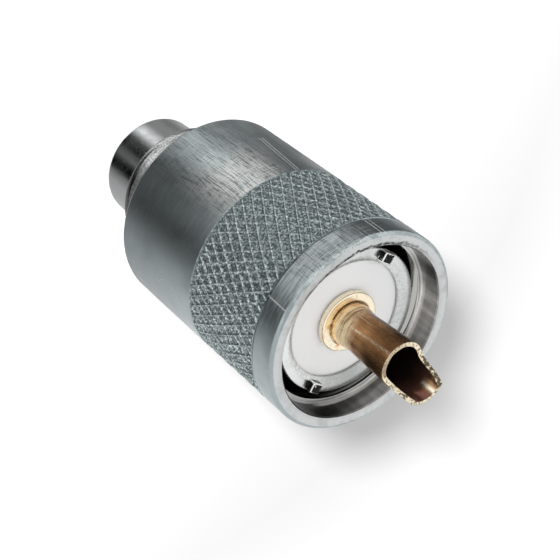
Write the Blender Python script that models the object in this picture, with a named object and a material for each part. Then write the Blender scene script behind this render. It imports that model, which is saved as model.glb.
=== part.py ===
"""Builds a UHF cable plug: coupling ring, turned body, insulator and hollow centre contact.

Lengths are in metres. The plug stands on the flat end of its tail, which is at the origin, with its
pin pointing up +Z, and the two keying teeth of its mating face lie on the Y axis.
"""

import math

import bmesh
import bpy
from mathutils import Matrix, Vector

# Fits between pieces
PRESS_GAP = 0.0002  # left between pieces that are pressed or staked together
REST_GAP = 0.0003  # left between the ring and the collar that it rests on
TURNING_CLEARANCE = 0.00035  # round the waist, inside the ring's lip

# Coupling ring
THREAD_CREST_RADIUS = 0.0074
RING_WALL = 0.0016
RING_LENGTH = 0.0226
RING_CHAMFER = 0.00035
MOUTH_RELIEF = 0.0004
MOUTH_DEPTH = 0.00205
MOUTH_TAPER = 0.00012
LIP_THICKNESS = 0.0030
LIP_CHAMFER = 0.0001
RING_TRAVEL = 0.0080

# Diamond knurl on the ring
KNURL_COUNT = 58
KNURL_HALF_ROWS = 11
KNURL_HEIGHT = 0.00904
KNURL_FROM_FRONT = 0.00252
KNURL_CREST = 0.00006
KNURL_DEPTH = 0.00028
KNURL_RUNOUT = 0.00015

# Body
TAIL_STEP = 0.0014
TAIL_LENGTH = 0.0053
TAIL_ROUNDING = 0.0005
TAIL_FILLET = 0.0005
TAIL_WALL = 0.0012
BORE_CHAMFER = 0.0003
COLLAR_OVERLAP = 0.0004
COLLAR_LENGTH = 0.0045
COLLAR_CHAMFER = 0.00035
COLLAR_CHAMFER_LENGTH = 0.0006
WAIST_WALL = 0.00075
SEAT_WEB = 0.0014
SOCKET_ROOM = 0.0008
SLEEVE_SHOULDER = 0.00065
SLEEVE_CHAMFER = 0.0003
SLEEVE_WALL = 0.00095
FACE_EDGE = 0.00008
CRIMP_WIDTH = 0.00065
CRIMP_OVERLAP = 0.0001
CRIMP_DROP = 0.00028
CRIMP_THICKNESS = 0.00035

# Solder holes in the waist
SOLDER_HOLE_COUNT = 4
SOLDER_HOLE_RADIUS = 0.0013

# Keying teeth on the mating face
TOOTH_COUNT = 2
TOOTH_WIDTH = 0.0011
TOOTH_HEIGHT = 0.00055
TOOTH_LENGTH = 0.00095
TOOTH_SETBACK = 0.00005
TOOTH_ROOT = 0.0003
TOOTH_BEVEL = 0.00008

# Insulator
INSULATOR_LENGTH = 0.0075
INSULATOR_CHAMFER = 0.0002

# Centre contact
PIN_LENGTH = 0.01015
PIN_TIP_RADIUS = 0.00197
PIN_FLARE = 0.00025
PIN_WALL = 0.00029
PIN_TIP_WALL = 0.00031
PIN_EDGE = 0.00008
NECK_STEP = 0.00016
NECK_LENGTH = 0.0012
SHANK_STEP = 0.00013
SHANK_TAIL = 0.0022
FLANGE_RIM = 0.00085
FLANGE_THICKNESS = 0.00055
FLANGE_CHAMFER = 0.00018
STAKE_RIM = 0.00065
STAKE_THICKNESS = 0.0004
SCOOP_LENGTH = 0.0028
SCOOP_REAR_DEPTH = 0.00033
SCOOP_TIP_DEPTH = 0.00125
SCOOP_ANGLE = -41.0
SCOOP_FILLET = 0.0004

# Facets
BODY_SEGMENTS = 60
INSULATOR_SEGMENTS = 60
CONTACT_SEGMENTS = 40
HOLE_SEGMENTS = 20
ARC_STEPS = 3
SHARP_ANGLE = 32.0

# Heights above the tail's end that follow from the sizes above
COLLAR_TOP = TAIL_LENGTH + COLLAR_LENGTH
RING_REAR = COLLAR_TOP + REST_GAP
RING_FRONT = RING_REAR + RING_LENGTH
LIP_FRONT = RING_REAR + LIP_THICKNESS
SLEEVE_REAR = LIP_FRONT + RING_TRAVEL
SEAT_HEIGHT = SLEEVE_REAR + SEAT_WEB
INSULATOR_REAR = SEAT_HEIGHT + PRESS_GAP
INSULATOR_FRONT = INSULATOR_REAR + INSULATOR_LENGTH
CRIMP_UNDERSIDE = INSULATOR_FRONT + PRESS_GAP
FACE_HEIGHT = CRIMP_UNDERSIDE + CRIMP_THICKNESS
PIN_TIP = INSULATOR_FRONT + PIN_LENGTH

# Radii, from the coupling thread outwards and inwards, and from the pin's tip
RING_RADIUS = THREAD_CREST_RADIUS + RING_WALL
MOUTH_RADIUS = THREAD_CREST_RADIUS + MOUTH_RELIEF
SLEEVE_RADIUS = THREAD_CREST_RADIUS - SOCKET_ROOM
LIP_RADIUS = SLEEVE_RADIUS - SLEEVE_SHOULDER
WAIST_RADIUS = LIP_RADIUS - TURNING_CLEARANCE
COLLAR_RADIUS = LIP_RADIUS + COLLAR_OVERLAP
TAIL_RADIUS = COLLAR_RADIUS - TAIL_STEP
CABLE_BORE_RADIUS = TAIL_RADIUS - TAIL_WALL
SEAT_RADIUS = SLEEVE_RADIUS - SLEEVE_WALL
WAIST_BORE_RADIUS = WAIST_RADIUS - WAIST_WALL
INSULATOR_RADIUS = SEAT_RADIUS - PRESS_GAP
CRIMP_RADIUS = INSULATOR_RADIUS - CRIMP_OVERLAP
PIN_ROOT_RADIUS = PIN_TIP_RADIUS - PIN_FLARE
PIN_BORE_RADIUS = PIN_ROOT_RADIUS - PIN_WALL
TIP_BORE_RADIUS = PIN_TIP_RADIUS - PIN_TIP_WALL
NECK_RADIUS = PIN_ROOT_RADIUS + NECK_STEP
SHANK_RADIUS = PIN_ROOT_RADIUS + SHANK_STEP
FLANGE_RADIUS = SHANK_RADIUS + FLANGE_RIM
STAKE_RADIUS = SHANK_RADIUS + STAKE_RIM
INSULATOR_BORE_RADIUS = SHANK_RADIUS + PRESS_GAP


def clear_scene():
    """Removes whatever the scene holds."""
    for obj in list(bpy.data.objects):
        bpy.data.objects.remove(obj, do_unlink=True)


def metal_or_plastic(name, colour, roughness, metallic):
    """Returns a Principled BSDF material."""
    material = bpy.data.materials.new(name)
    material.use_nodes = True
    shader = material.node_tree.nodes["Principled BSDF"]
    shader.inputs["Base Color"].default_value = (*colour, 1.0)
    shader.inputs["Roughness"].default_value = roughness
    shader.inputs["Metallic"].default_value = metallic
    material.diffuse_color = (*colour, 1.0)
    return material


def arc(centre_r, centre_z, radius, start, end):
    """Returns the points of an arc in the turning plane, its angles in degrees from +R towards +Z."""
    points = []
    for step in range(ARC_STEPS + 1):
        angle = math.radians(start + (end - start) * step / ARC_STEPS)
        points.append((centre_r + radius * math.cos(angle), centre_z + radius * math.sin(angle)))
    return points


def turned(outline, segments):
    """Returns a bmesh spun round Z from a closed outline of (radius, height) points."""
    bm = bmesh.new()
    corners = [bm.verts.new((radius, 0.0, height)) for radius, height in outline]
    edges = [bm.edges.new((corners[i - 1], corners[i])) for i in range(len(corners))]
    bmesh.ops.spin(
        bm,
        geom=corners + edges,
        cent=(0.0, 0.0, 0.0),
        axis=(0.0, 0.0, 1.0),
        angle=math.tau,
        steps=segments,
        use_merge=True,
    )
    bmesh.ops.recalc_face_normals(bm, faces=bm.faces)
    return bm


def object_of(name, bm, material=None):
    """Makes an object of a bmesh and links it to the scene."""
    mesh = bpy.data.meshes.new(name)
    bm.to_mesh(mesh)
    bm.free()
    obj = bpy.data.objects.new(name, mesh)
    if material:
        mesh.materials.append(material)
    bpy.context.scene.collection.objects.link(obj)
    return obj


def smooth(obj):
    """Shades an object smooth, with its hard edges kept sharp."""
    obj.data.shade_smooth()
    obj.data.set_sharp_from_angle(angle=math.radians(SHARP_ANGLE))


def combine(obj, tools, operation):
    """Cuts the tools from an object or joins them to it, and removes the tools."""
    for tool in tools:
        tool.hide_render = True
        tool.display_type = "WIRE"
        boolean = obj.modifiers.new(tool.name, "BOOLEAN")
        boolean.operation = operation
        boolean.solver = "EXACT"
        boolean.object = tool
    bpy.context.view_layer.update()
    evaluated = obj.evaluated_get(bpy.context.evaluated_depsgraph_get())
    result = bpy.data.meshes.new_from_object(evaluated)
    obj.modifiers.clear()
    obj.data = result
    for tool in tools:
        bpy.data.objects.remove(tool, do_unlink=True)


def bevelled_box(name, low, high, bevel, edge_test):
    """Returns a box between two corners whose edges that pass the test are rounded."""
    bm = bmesh.new()
    size = Vector(high) - Vector(low)
    middle = (Vector(high) + Vector(low)) / 2
    bmesh.ops.create_cube(bm, size=1.0, matrix=Matrix.Translation(middle) @ Matrix.Diagonal((*size, 1.0)))
    edges = [edge for edge in bm.edges if edge_test(edge)]
    bmesh.ops.bevel(
        bm,
        geom=edges,
        offset=bevel,
        offset_type="OFFSET",
        segments=ARC_STEPS,
        profile=0.5,
        affect="EDGES",
    )
    return object_of(name, bm)


def knurl_row_height(row):
    """Returns the height of a row of knurl points, counted from the rear of the band."""
    rear = RING_FRONT - KNURL_FROM_FRONT - KNURL_HEIGHT
    return rear + KNURL_HEIGHT * row / KNURL_HALF_ROWS


def ring_outline():
    """Returns the coupling ring's section, with one point for each row of the knurl."""
    knurl = [(RING_RADIUS, knurl_row_height(row)) for row in range(KNURL_HALF_ROWS + 1)]
    return [
        (LIP_RADIUS + LIP_CHAMFER, RING_REAR),
        (RING_RADIUS - RING_CHAMFER, RING_REAR),
        (RING_RADIUS, RING_REAR + RING_CHAMFER),
        (RING_RADIUS, knurl_row_height(0) - KNURL_RUNOUT),
        *knurl,
        (RING_RADIUS, knurl_row_height(KNURL_HALF_ROWS) + KNURL_RUNOUT),
        (RING_RADIUS, RING_FRONT - RING_CHAMFER),
        (RING_RADIUS - RING_CHAMFER, RING_FRONT),
        (MOUTH_RADIUS, RING_FRONT),
        (MOUTH_RADIUS, RING_FRONT - MOUTH_DEPTH),
        (THREAD_CREST_RADIUS, RING_FRONT - MOUTH_DEPTH - MOUTH_TAPER),
        (THREAD_CREST_RADIUS, LIP_FRONT),
        (LIP_RADIUS + LIP_CHAMFER, LIP_FRONT),
        (LIP_RADIUS, LIP_FRONT - LIP_CHAMFER),
        (LIP_RADIUS, RING_REAR + LIP_CHAMFER),
    ]


def cut_knurl(bm):
    """Raises the two crossing families of ridges on the ring's knurl rows.

    The points of the band form a chequered grid: half lie where two ridges cross, the others are the
    floors of the diamonds between them. Each grid square is folded along the ridge that joins its two
    high corners.
    """
    columns = 2 * KNURL_COUNT
    crossings = set()
    for vert in bm.verts:
        radius = math.hypot(vert.co.x, vert.co.y)
        row = (vert.co.z - knurl_row_height(0)) / KNURL_HEIGHT * KNURL_HALF_ROWS
        on_row = abs(row - round(row)) < 0.01 and 0 <= round(row) <= KNURL_HALF_ROWS
        if not on_row or radius < (RING_RADIUS + MOUTH_RADIUS) / 2:
            continue
        column = round(math.atan2(vert.co.y, vert.co.x) / math.tau * columns)
        target = RING_RADIUS + KNURL_CREST
        if (column + round(row)) % 2 == 0:
            crossings.add(vert)
        else:
            target -= KNURL_DEPTH
        vert.co.x *= target / radius
        vert.co.y *= target / radius
    for face in list(bm.faces):
        high = [vert for vert in face.verts if vert in crossings]
        if len(high) == 2:
            bmesh.utils.face_split(face, high[0], high[1])


def make_coupling_ring():
    """Builds the ring that screws onto the mating socket."""
    bm = turned(ring_outline(), 2 * KNURL_COUNT)
    cut_knurl(bm)
    obj = object_of("coupling_ring", bm, metal_or_plastic("satin_nickel", (0.34, 0.37, 0.37), 0.38, 1.0))
    smooth(obj)
    return obj


def body_outline():
    """Returns the section of the body: tail, threaded collar, waist and front sleeve."""
    return [
        (CABLE_BORE_RADIUS + BORE_CHAMFER, 0.0),
        *arc(TAIL_RADIUS - TAIL_ROUNDING, TAIL_ROUNDING, TAIL_ROUNDING, -90.0, 0.0),
        *arc(TAIL_RADIUS + TAIL_FILLET, TAIL_LENGTH - TAIL_FILLET, TAIL_FILLET, 180.0, 90.0),
        (COLLAR_RADIUS - COLLAR_CHAMFER, TAIL_LENGTH),
        (COLLAR_RADIUS, TAIL_LENGTH + COLLAR_CHAMFER_LENGTH),
        (COLLAR_RADIUS, COLLAR_TOP),
        (WAIST_RADIUS, COLLAR_TOP),
        (WAIST_RADIUS, SLEEVE_REAR),
        (SLEEVE_RADIUS - SLEEVE_CHAMFER, SLEEVE_REAR),
        (SLEEVE_RADIUS, SLEEVE_REAR + SLEEVE_CHAMFER),
        (SLEEVE_RADIUS, FACE_HEIGHT - FACE_EDGE),
        (SLEEVE_RADIUS - FACE_EDGE, FACE_HEIGHT),
        (CRIMP_RADIUS + CRIMP_WIDTH, FACE_HEIGHT),
        (CRIMP_RADIUS, FACE_HEIGHT - CRIMP_DROP),
        (CRIMP_RADIUS, CRIMP_UNDERSIDE),
        (SEAT_RADIUS, CRIMP_UNDERSIDE),
        (SEAT_RADIUS, SEAT_HEIGHT),
        (WAIST_BORE_RADIUS, SEAT_HEIGHT),
        (WAIST_BORE_RADIUS, COLLAR_TOP + WAIST_BORE_RADIUS - CABLE_BORE_RADIUS),
        (CABLE_BORE_RADIUS, COLLAR_TOP),
        (CABLE_BORE_RADIUS, BORE_CHAMFER),
    ]


def solder_hole_drills():
    """Returns the drills of the solder holes, spread round the waist between the teeth's planes."""
    height = (COLLAR_TOP + WAIST_BORE_RADIUS - CABLE_BORE_RADIUS + SLEEVE_REAR) / 2
    middle_radius = (WAIST_RADIUS + WAIST_BORE_RADIUS) / 2
    drills = []
    for index in range(SOLDER_HOLE_COUNT):
        turn = Matrix.Rotation(math.tau * (index + 0.5) / SOLDER_HOLE_COUNT, 4, "Z")
        place = Matrix.Translation((middle_radius, 0.0, height)) @ Matrix.Rotation(math.pi / 2, 4, "Y")
        bm = bmesh.new()
        bmesh.ops.create_cone(
            bm,
            cap_ends=True,
            segments=HOLE_SEGMENTS,
            radius1=SOLDER_HOLE_RADIUS,
            radius2=SOLDER_HOLE_RADIUS,
            depth=4 * WAIST_WALL,
            matrix=turn @ place,
        )
        drills.append(object_of(f"solder_hole_drill_{index + 1}", bm))
    return drills


def keying_teeth():
    """Returns the raised teeth that key into the mating socket's rim, rooted in the body's face."""
    outside = SLEEVE_RADIUS - TOOTH_SETBACK
    teeth = []
    for index in range(TOOTH_COUNT):
        tooth = bevelled_box(
            f"keying_tooth_{index + 1}",
            (outside - TOOTH_LENGTH, -TOOTH_WIDTH / 2, FACE_HEIGHT - TOOTH_ROOT),
            (outside, TOOTH_WIDTH / 2, FACE_HEIGHT + TOOTH_HEIGHT),
            TOOTH_BEVEL,
            lambda edge: all(vert.co.z > FACE_HEIGHT for vert in edge.verts),
        )
        tooth.data.transform(Matrix.Rotation(math.tau * (index / TOOTH_COUNT + 0.25), 4, "Z"))
        teeth.append(tooth)
    return teeth


def make_plug_body():
    """Builds the one-piece body that carries the ring, the insulator and the cable."""
    bm = turned(body_outline(), BODY_SEGMENTS)
    obj = object_of("plug_body", bm, metal_or_plastic("polished_nickel", (0.62, 0.64, 0.63), 0.14, 1.0))
    combine(obj, solder_hole_drills(), "DIFFERENCE")
    combine(obj, keying_teeth(), "UNION")
    smooth(obj)
    return obj


def make_insulator():
    """Builds the insulator that the body's rim is rolled over."""
    outline = [
        (INSULATOR_BORE_RADIUS, INSULATOR_REAR),
        (INSULATOR_RADIUS - INSULATOR_CHAMFER, INSULATOR_REAR),
        (INSULATOR_RADIUS, INSULATOR_REAR + INSULATOR_CHAMFER),
        (INSULATOR_RADIUS, INSULATOR_FRONT),
        (INSULATOR_BORE_RADIUS, INSULATOR_FRONT),
    ]
    bm = turned(outline, INSULATOR_SEGMENTS)
    obj = object_of("insulator", bm, metal_or_plastic("white_insulator", (0.86, 0.87, 0.87), 0.45, 0.0))
    smooth(obj)
    return obj


def contact_outline():
    """Returns the contact's section: staked rear, shank, flange, neck and flared barrel."""
    flange_rear = INSULATOR_FRONT + PRESS_GAP
    flange_front = flange_rear + FLANGE_THICKNESS
    stake_front = INSULATOR_REAR - PRESS_GAP
    stake_rear = stake_front - STAKE_THICKNESS
    return [
        (PIN_BORE_RADIUS, stake_rear - SHANK_TAIL),
        (SHANK_RADIUS, stake_rear - SHANK_TAIL),
        (SHANK_RADIUS, stake_rear),
        (STAKE_RADIUS, stake_rear),
        (STAKE_RADIUS, stake_front),
        (SHANK_RADIUS, stake_front),
        (SHANK_RADIUS, flange_rear),
        (FLANGE_RADIUS, flange_rear),
        (FLANGE_RADIUS, flange_front - FLANGE_CHAMFER),
        (FLANGE_RADIUS - FLANGE_CHAMFER, flange_front),
        (NECK_RADIUS, flange_front),
        (PIN_ROOT_RADIUS, flange_front + NECK_LENGTH),
        (PIN_TIP_RADIUS, PIN_TIP - SCOOP_LENGTH),
        (PIN_TIP_RADIUS, PIN_TIP - PIN_EDGE),
        (PIN_TIP_RADIUS - PIN_EDGE, PIN_TIP),
        (TIP_BORE_RADIUS, PIN_TIP),
        (PIN_BORE_RADIUS, flange_front + NECK_LENGTH),
    ]


def scoop_cutter():
    """Returns the block that mills the barrel's tip to an open trough, deeper towards the tip."""
    margin = PIN_TIP_RADIUS
    rear = PIN_TIP - SCOOP_LENGTH
    block = bevelled_box(
        "scoop_cutter",
        (-SCOOP_REAR_DEPTH, -PIN_TIP_RADIUS - margin, rear),
        (PIN_TIP_RADIUS + margin, PIN_TIP_RADIUS + margin, PIN_TIP + margin),
        SCOOP_FILLET,
        lambda edge: all(vert.co.x < 0.0 and vert.co.z < PIN_TIP for vert in edge.verts),
    )
    slope = (SCOOP_TIP_DEPTH - SCOOP_REAR_DEPTH) / SCOOP_LENGTH
    for vert in block.data.vertices:
        vert.co.x -= slope * (vert.co.z - rear)
    block.data.transform(Matrix.Rotation(math.radians(SCOOP_ANGLE), 4, "Z"))
    return block


def make_centre_contact():
    """Builds the hollow contact pin, open at its tip so that the cable's core can be soldered."""
    bm = turned(contact_outline(), CONTACT_SEGMENTS)
    obj = object_of("centre_contact", bm, metal_or_plastic("tarnished_brass", (0.45, 0.29, 0.16), 0.28, 1.0))
    combine(obj, [scoop_cutter()], "DIFFERENCE")
    smooth(obj)
    return obj


def main():
    """Builds the plug's four pieces."""
    clear_scene()
    make_plug_body()
    make_insulator()
    make_centre_contact()
    make_coupling_ring()


main()
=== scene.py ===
"""Dresses the cable plug: knurled coupling ring, turned body, insulator and hollow solder pin.

Lengths are in metres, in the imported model's frame: the plug stands on its tail's end, its pin points
up +Z, and its two keying teeth lie on the Y axis. Azimuths are in degrees round that axis.
"""

import logging
import math
from dataclasses import dataclass, field
from enum import Enum

import bmesh
import bpy
from bmesh.types import BMesh, BMFace, BMVert
from bpy.types import ID, Material, Mesh, Node, NodeSocket, NodeTree, Object
from mathutils import Matrix, Vector


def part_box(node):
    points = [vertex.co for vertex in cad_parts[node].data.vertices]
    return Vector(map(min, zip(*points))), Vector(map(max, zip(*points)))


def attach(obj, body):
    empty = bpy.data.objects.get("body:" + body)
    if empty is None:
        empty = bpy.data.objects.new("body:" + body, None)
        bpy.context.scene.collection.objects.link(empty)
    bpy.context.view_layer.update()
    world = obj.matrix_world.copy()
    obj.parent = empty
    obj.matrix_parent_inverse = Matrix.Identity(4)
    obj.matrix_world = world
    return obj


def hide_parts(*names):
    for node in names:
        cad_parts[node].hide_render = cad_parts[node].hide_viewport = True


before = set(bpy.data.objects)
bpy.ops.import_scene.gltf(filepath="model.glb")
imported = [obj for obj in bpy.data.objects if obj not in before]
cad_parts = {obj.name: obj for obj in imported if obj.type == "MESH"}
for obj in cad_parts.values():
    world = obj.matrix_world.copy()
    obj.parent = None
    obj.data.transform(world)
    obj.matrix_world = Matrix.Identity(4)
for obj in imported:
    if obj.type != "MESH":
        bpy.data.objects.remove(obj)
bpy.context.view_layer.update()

MM = 0.001
WELD = 0.001 * MM
SHARP_ANGLE = 32.0
QUAD = 4
LOG = logging.getLogger("plug")

WHITE = (1.0, 1.0, 1.0)
BLACK = (0.0, 0.0, 0.0)
MARK_ROUGHNESS = 0.6
FACING_DRIFT = 0.02

Triple = tuple[float, float, float]
Outline = list[tuple[float, float]]
Tones = tuple[tuple[float, float], ...]
Loop = list[BMVert]


class Body(Enum):
    """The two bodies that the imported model's joint separates."""

    PLUG = "plug"
    COUPLING = "coupling"


class Sense(Enum):
    """The side that a thread is cut on: into a bore's wall or into a shaft."""

    INTERNAL = 1.0
    EXTERNAL = -1.0


class Signal:
    """A value that a node tree works out. Plain arithmetic on it adds Math nodes."""

    def __init__(self, graph: "Graph", socket: NodeSocket) -> None:
        """Wraps an output socket."""
        self.graph = graph
        self.socket = socket

    def __add__(self, other: "Value") -> "Signal":
        """Returns the sum."""
        return self.graph.math("ADD", self, other)

    def __sub__(self, other: "Value") -> "Signal":
        """Returns the difference."""
        return self.graph.math("SUBTRACT", self, other)

    def __rsub__(self, other: float) -> "Signal":
        """Returns a plain number less this value."""
        return self.graph.math("SUBTRACT", other, self)

    def __mul__(self, other: "Value") -> "Signal":
        """Returns the product."""
        return self.graph.math("MULTIPLY", self, other)

    def __truediv__(self, other: "Value") -> "Signal":
        """Returns the quotient."""
        return self.graph.math("DIVIDE", self, other)

    def __pow__(self, power: float) -> "Signal":
        """Returns a power of this value."""
        return self.graph.math("POWER", self, power)

    def __abs__(self) -> "Signal":
        """Returns the value without its sign."""
        return self.graph.math("ABSOLUTE", self)

    def at_least(self, other: "Value") -> "Signal":
        """Returns the larger of two values."""
        return self.graph.math("MAXIMUM", self, other)

    def at_most(self, other: "Value") -> "Signal":
        """Returns the smaller of two values."""
        return self.graph.math("MINIMUM", self, other)

    def spread(self, low: "Value", high: "Value", to_low: float = 0.0, to_high: float = 1.0) -> "Signal":
        """Maps the value from one range to another, held at both ends.

        Args:
            low: Start of its own range.
            high: End of its own range.
            to_low: The result at the start.
            to_high: The result at the end.

        Returns:
            The mapped value.
        """
        return self.graph.add(
            "ShaderNodeMapRange", Value=self, From_Min=low, From_Max=high, To_Min=to_low, To_Max=to_high
        )

    def within(self, low: float, high: float, edge: float) -> "Signal":
        """Returns 1 where the value lies between two limits, fading to 0 over an edge outside them."""
        return self.spread(low - edge, low) * self.spread(high, high + edge, 1.0, 0.0)

    def bump(self, distance: float, under: "Signal | None" = None) -> "Signal":
        """Uses the value, 0 to 1, as relief.

        Args:
            distance: The relief's depth in metres.
            under: The normal of a coarser bump that it lies on.

        Returns:
            The bumped normal.
        """
        coarser = {"Normal": under} if under else {}
        return self.graph.add("ShaderNodeBump", Height=self, Distance=distance, Strength=1.0, **coarser)


Value = Signal | float | int | tuple[float, ...] | Material


class Graph:
    """Adds nodes to a shader or geometry tree."""

    def __init__(self, tree: NodeTree) -> None:
        """Starts on an empty tree."""
        self.tree = tree
        tree.nodes.clear()

    def feed(self, socket: NodeSocket, value: Value) -> None:
        """Links an input socket to a signal, or gives it a plain value.

        Args:
            socket: The input socket.
            value: What it takes. A colour may be given without its alpha.
        """
        if isinstance(value, Signal):
            self.tree.links.new(value.socket, socket)
        elif socket.type == "RGBA":
            socket.default_value = (*value[:3], 1.0)
        else:
            socket.default_value = value

    def node(self, kind: str, **fields: object) -> Node:
        """Adds a node.

        Args:
            kind: The node's type name.
            fields: Its inputs, which start with a capital and have underscores for spaces, and its own
                properties, which start with a small letter.

        Returns:
            The node.
        """
        node = self.tree.nodes.new(kind)
        for name, value in fields.items():
            if name[0].isupper():
                self.feed(node.inputs[name.replace("_", " ")], value)
            else:
                setattr(node, name, value)
        return node

    def add(self, kind: str, output: int | str = 0, **fields: object) -> Signal:
        """Adds a node as node() does, and returns one of its outputs."""
        return Signal(self, self.node(kind, **fields).outputs[output])

    def math(self, operation: str, *values: Value) -> Signal:
        """Adds a Math node.

        Args:
            operation: What it works out.
            values: What it works on.

        Returns:
            Its result.
        """
        node = self.node("ShaderNodeMath", operation=operation)
        for socket, value in zip(node.inputs, values):
            self.feed(socket, value)
        return Signal(self, node.outputs[0])

    def vector(self, x: Value, y: Value, z: Value) -> Signal:
        """Joins three values to a vector."""
        return self.add("ShaderNodeCombineXYZ", X=x, Y=y, Z=z)

    def parts(self, vector: Signal) -> list[Signal]:
        """Splits a vector into its three values."""
        return [Signal(self, value) for value in self.node("ShaderNodeSeparateXYZ", Vector=vector).outputs]

    def place(self) -> Signal:
        """Returns where a point lies, in its own piece's coordinates."""
        return self.add("ShaderNodeTexCoord", "Object")

    def polar(self) -> tuple[Signal, Signal, Signal, Signal]:
        """Finds where a point of the piece lies.

        Returns:
            Its own coordinates, its distance from the plug's axis, its azimuth in degrees and its height.
        """
        place = self.place()
        x, y, height = self.parts(place)
        azimuth = self.math("ARCTAN2", y, x) * math.degrees(1.0)
        return place, self.math("SQRT", x * x + y * y), azimuth, height

    def noise(self, vector: Signal, scale: float, detail: float = 2.0, rough: float = 0.5) -> Signal:
        """Adds a noise texture.

        Args:
            vector: Where it is read.
            scale: Features in each metre.
            detail: Octaves.
            rough: How strong the finer octaves are.

        Returns:
            The noise, about 0.5 on average.
        """
        return self.add("ShaderNodeTexNoise", Vector=vector, Scale=scale, Detail=detail, Roughness=rough)

    def marks(self, fineness: float, stretch: Triple, detail: float) -> Signal:
        """Returns noise that is stretched along some of the axes."""
        place = self.place()
        stretched = self.add("ShaderNodeMapping", vector_type="POINT", Vector=place, Scale=stretch)
        return self.noise(stretched, fineness, detail, MARK_ROUGHNESS)

    def length_streaks(self, fineness: float, squeeze: float, detail: float = 3.0) -> Signal:
        """Returns marks drawn along the plug's axis, so many times longer than wide."""
        return self.marks(fineness, (1.0, 1.0, 1.0 / squeeze), detail)

    def lathe_rings(self, fineness: float, squeeze: float, detail: float = 3.0) -> Signal:
        """Returns turning marks that run round the plug's axis on a cylindrical wall."""
        return self.marks(fineness, (1.0 / squeeze, 1.0 / squeeze, 1.0), detail)

    def facing_rings(self, fineness: float) -> Signal:
        """Returns the concentric marks that a facing cut leaves on a flat end.

        Args:
            fineness: Marks in each metre along the radius.

        Returns:
            The marks, 0 to 1.
        """
        x, y, _ = self.parts(self.place())
        radius = self.math("SQRT", x * x + y * y)
        drift = self.vector(radius, x * FACING_DRIFT, y * FACING_DRIFT)
        return self.noise(drift, fineness, 2.0, MARK_ROUGHNESS)

    def mix(self, share: Value, first: Value, second: Value) -> Signal:
        """Blends two colours.

        Args:
            share: How much of the second one shows.
            first: The first colour.
            second: The second colour.

        Returns:
            The blend.
        """
        node = self.node("ShaderNodeMix", data_type="RGBA")
        for index, value in ((0, share), (6, first), (7, second)):
            self.feed(node.inputs[index], value)
        return Signal(self, node.outputs[2])

    def tones(self, azimuth: Signal, stops: Tones) -> Signal:
        """Gives a brightness that changes smoothly round the plug's axis.

        Args:
            azimuth: The azimuth, -180 to 180.
            stops: Azimuths in rising order, each with its brightness; the first and last one meet.

        Returns:
            The brightness.
        """
        node = self.node("ShaderNodeValToRGB", Fac=azimuth.spread(-180.0, 180.0))
        ramp = node.color_ramp
        ramp.interpolation = "EASE"
        for index, (direction, level) in enumerate(stops):
            fresh = 0 < index < len(stops) - 1
            position = (direction + 180.0) / 360.0
            element = ramp.elements.new(position) if fresh else ramp.elements[0 if index == 0 else -1]
            element.color = (level, level, level, 1.0)
        return Signal(self, node.outputs[0])

    def tinted(self, colour: Value, tone: Signal) -> Signal:
        """Returns a colour darkened by a tone from 0 to 1."""
        return self.mix(tone, BLACK, colour)

    def surface(
        self, colour: Value, roughness: Value, normal: Signal, metallic: Value = 1.0, **more: Value
    ) -> Signal:
        """Adds the surface shader.

        Args:
            colour: Its base colour.
            roughness: Its roughness.
            normal: Its bumped normal.
            metallic: How metallic it is.
            more: Its other inputs.

        Returns:
            The surface.
        """
        return self.add(
            "ShaderNodeBsdfPrincipled",
            Base_Color=colour, Roughness=roughness, Normal=normal, Metallic=metallic, **more,
        )


def blank_material(name: str) -> tuple[Material, Graph]:
    """Returns a new material and its empty tree."""
    material = bpy.data.materials.new(name)
    material.use_nodes = True
    return material, Graph(material.node_tree)


@dataclass(frozen=True)
class Finish:
    """A surface finish: each kind lays out its own nodes."""

    name: str

    def material(self) -> Material:
        """Returns the finish as a material."""
        material, graph = blank_material(self.name)
        graph.node("ShaderNodeOutputMaterial", Surface=self.lay(graph))
        return material

    def lay(self, graph: Graph) -> Signal:
        """Builds the nodes and returns the surface."""
        raise NotImplementedError


@dataclass(frozen=True)
class Scratch:
    """A scratch along a piece: where it starts and ends, and how wide it is in degrees."""

    azimuth: float
    low: float
    high: float
    slant: float = 0.0
    width: float = 0.35

    def mask(self, azimuth: Signal, height: Signal) -> Signal:
        """Draws the scratch.

        Args:
            azimuth: A point's azimuth.
            height: Its height.

        Returns:
            1 on the scratch and 0 off it.
        """
        drift = (height - self.low) * (self.slant / MM)
        across = abs(azimuth - (drift + self.azimuth)).spread(0.3 * self.width, self.width, 1.0, 0.0)
        return across * height.within(self.low, self.high, 0.1 * MM)


def scratched(scratches: tuple[Scratch, ...], azimuth: Signal, height: Signal) -> Signal:
    """Draws several scratches.

    Args:
        scratches: The scratches.
        azimuth: A point's azimuth.
        height: Its height.

    Returns:
        1 on any of them and 0 off them.
    """
    cut = scratches[0].mask(azimuth, height)
    for scratch in scratches[1:]:
        cut = cut.at_least(scratch.mask(azimuth, height))
    return cut


RING_SCRATCHES = (
    Scratch(-0.6, 30.2 * MM, 32.4 * MM, 0.25, 0.55),
    Scratch(-65.0, 30.2 * MM, 32.5 * MM, 0.0, 0.5),
    Scratch(-67.5, 30.2 * MM, 32.5 * MM, 0.0, 0.4),
    Scratch(-71.5, 14.5 * MM, 21.0 * MM, 0.75, 0.4),
    Scratch(-74.0, 14.5 * MM, 21.0 * MM, 0.85, 0.5),
)
# Along the pin's barrel: a painted highlight line, then a thin scratch.
PIN_HIGHLIGHT_AND_SCRATCH = (
    Scratch(-8.0, 32.4 * MM, 37.6 * MM, -1.7, 4.6),
    Scratch(-47.0, 32.2 * MM, 34.0 * MM, 1.2, 1.4),
)


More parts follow.
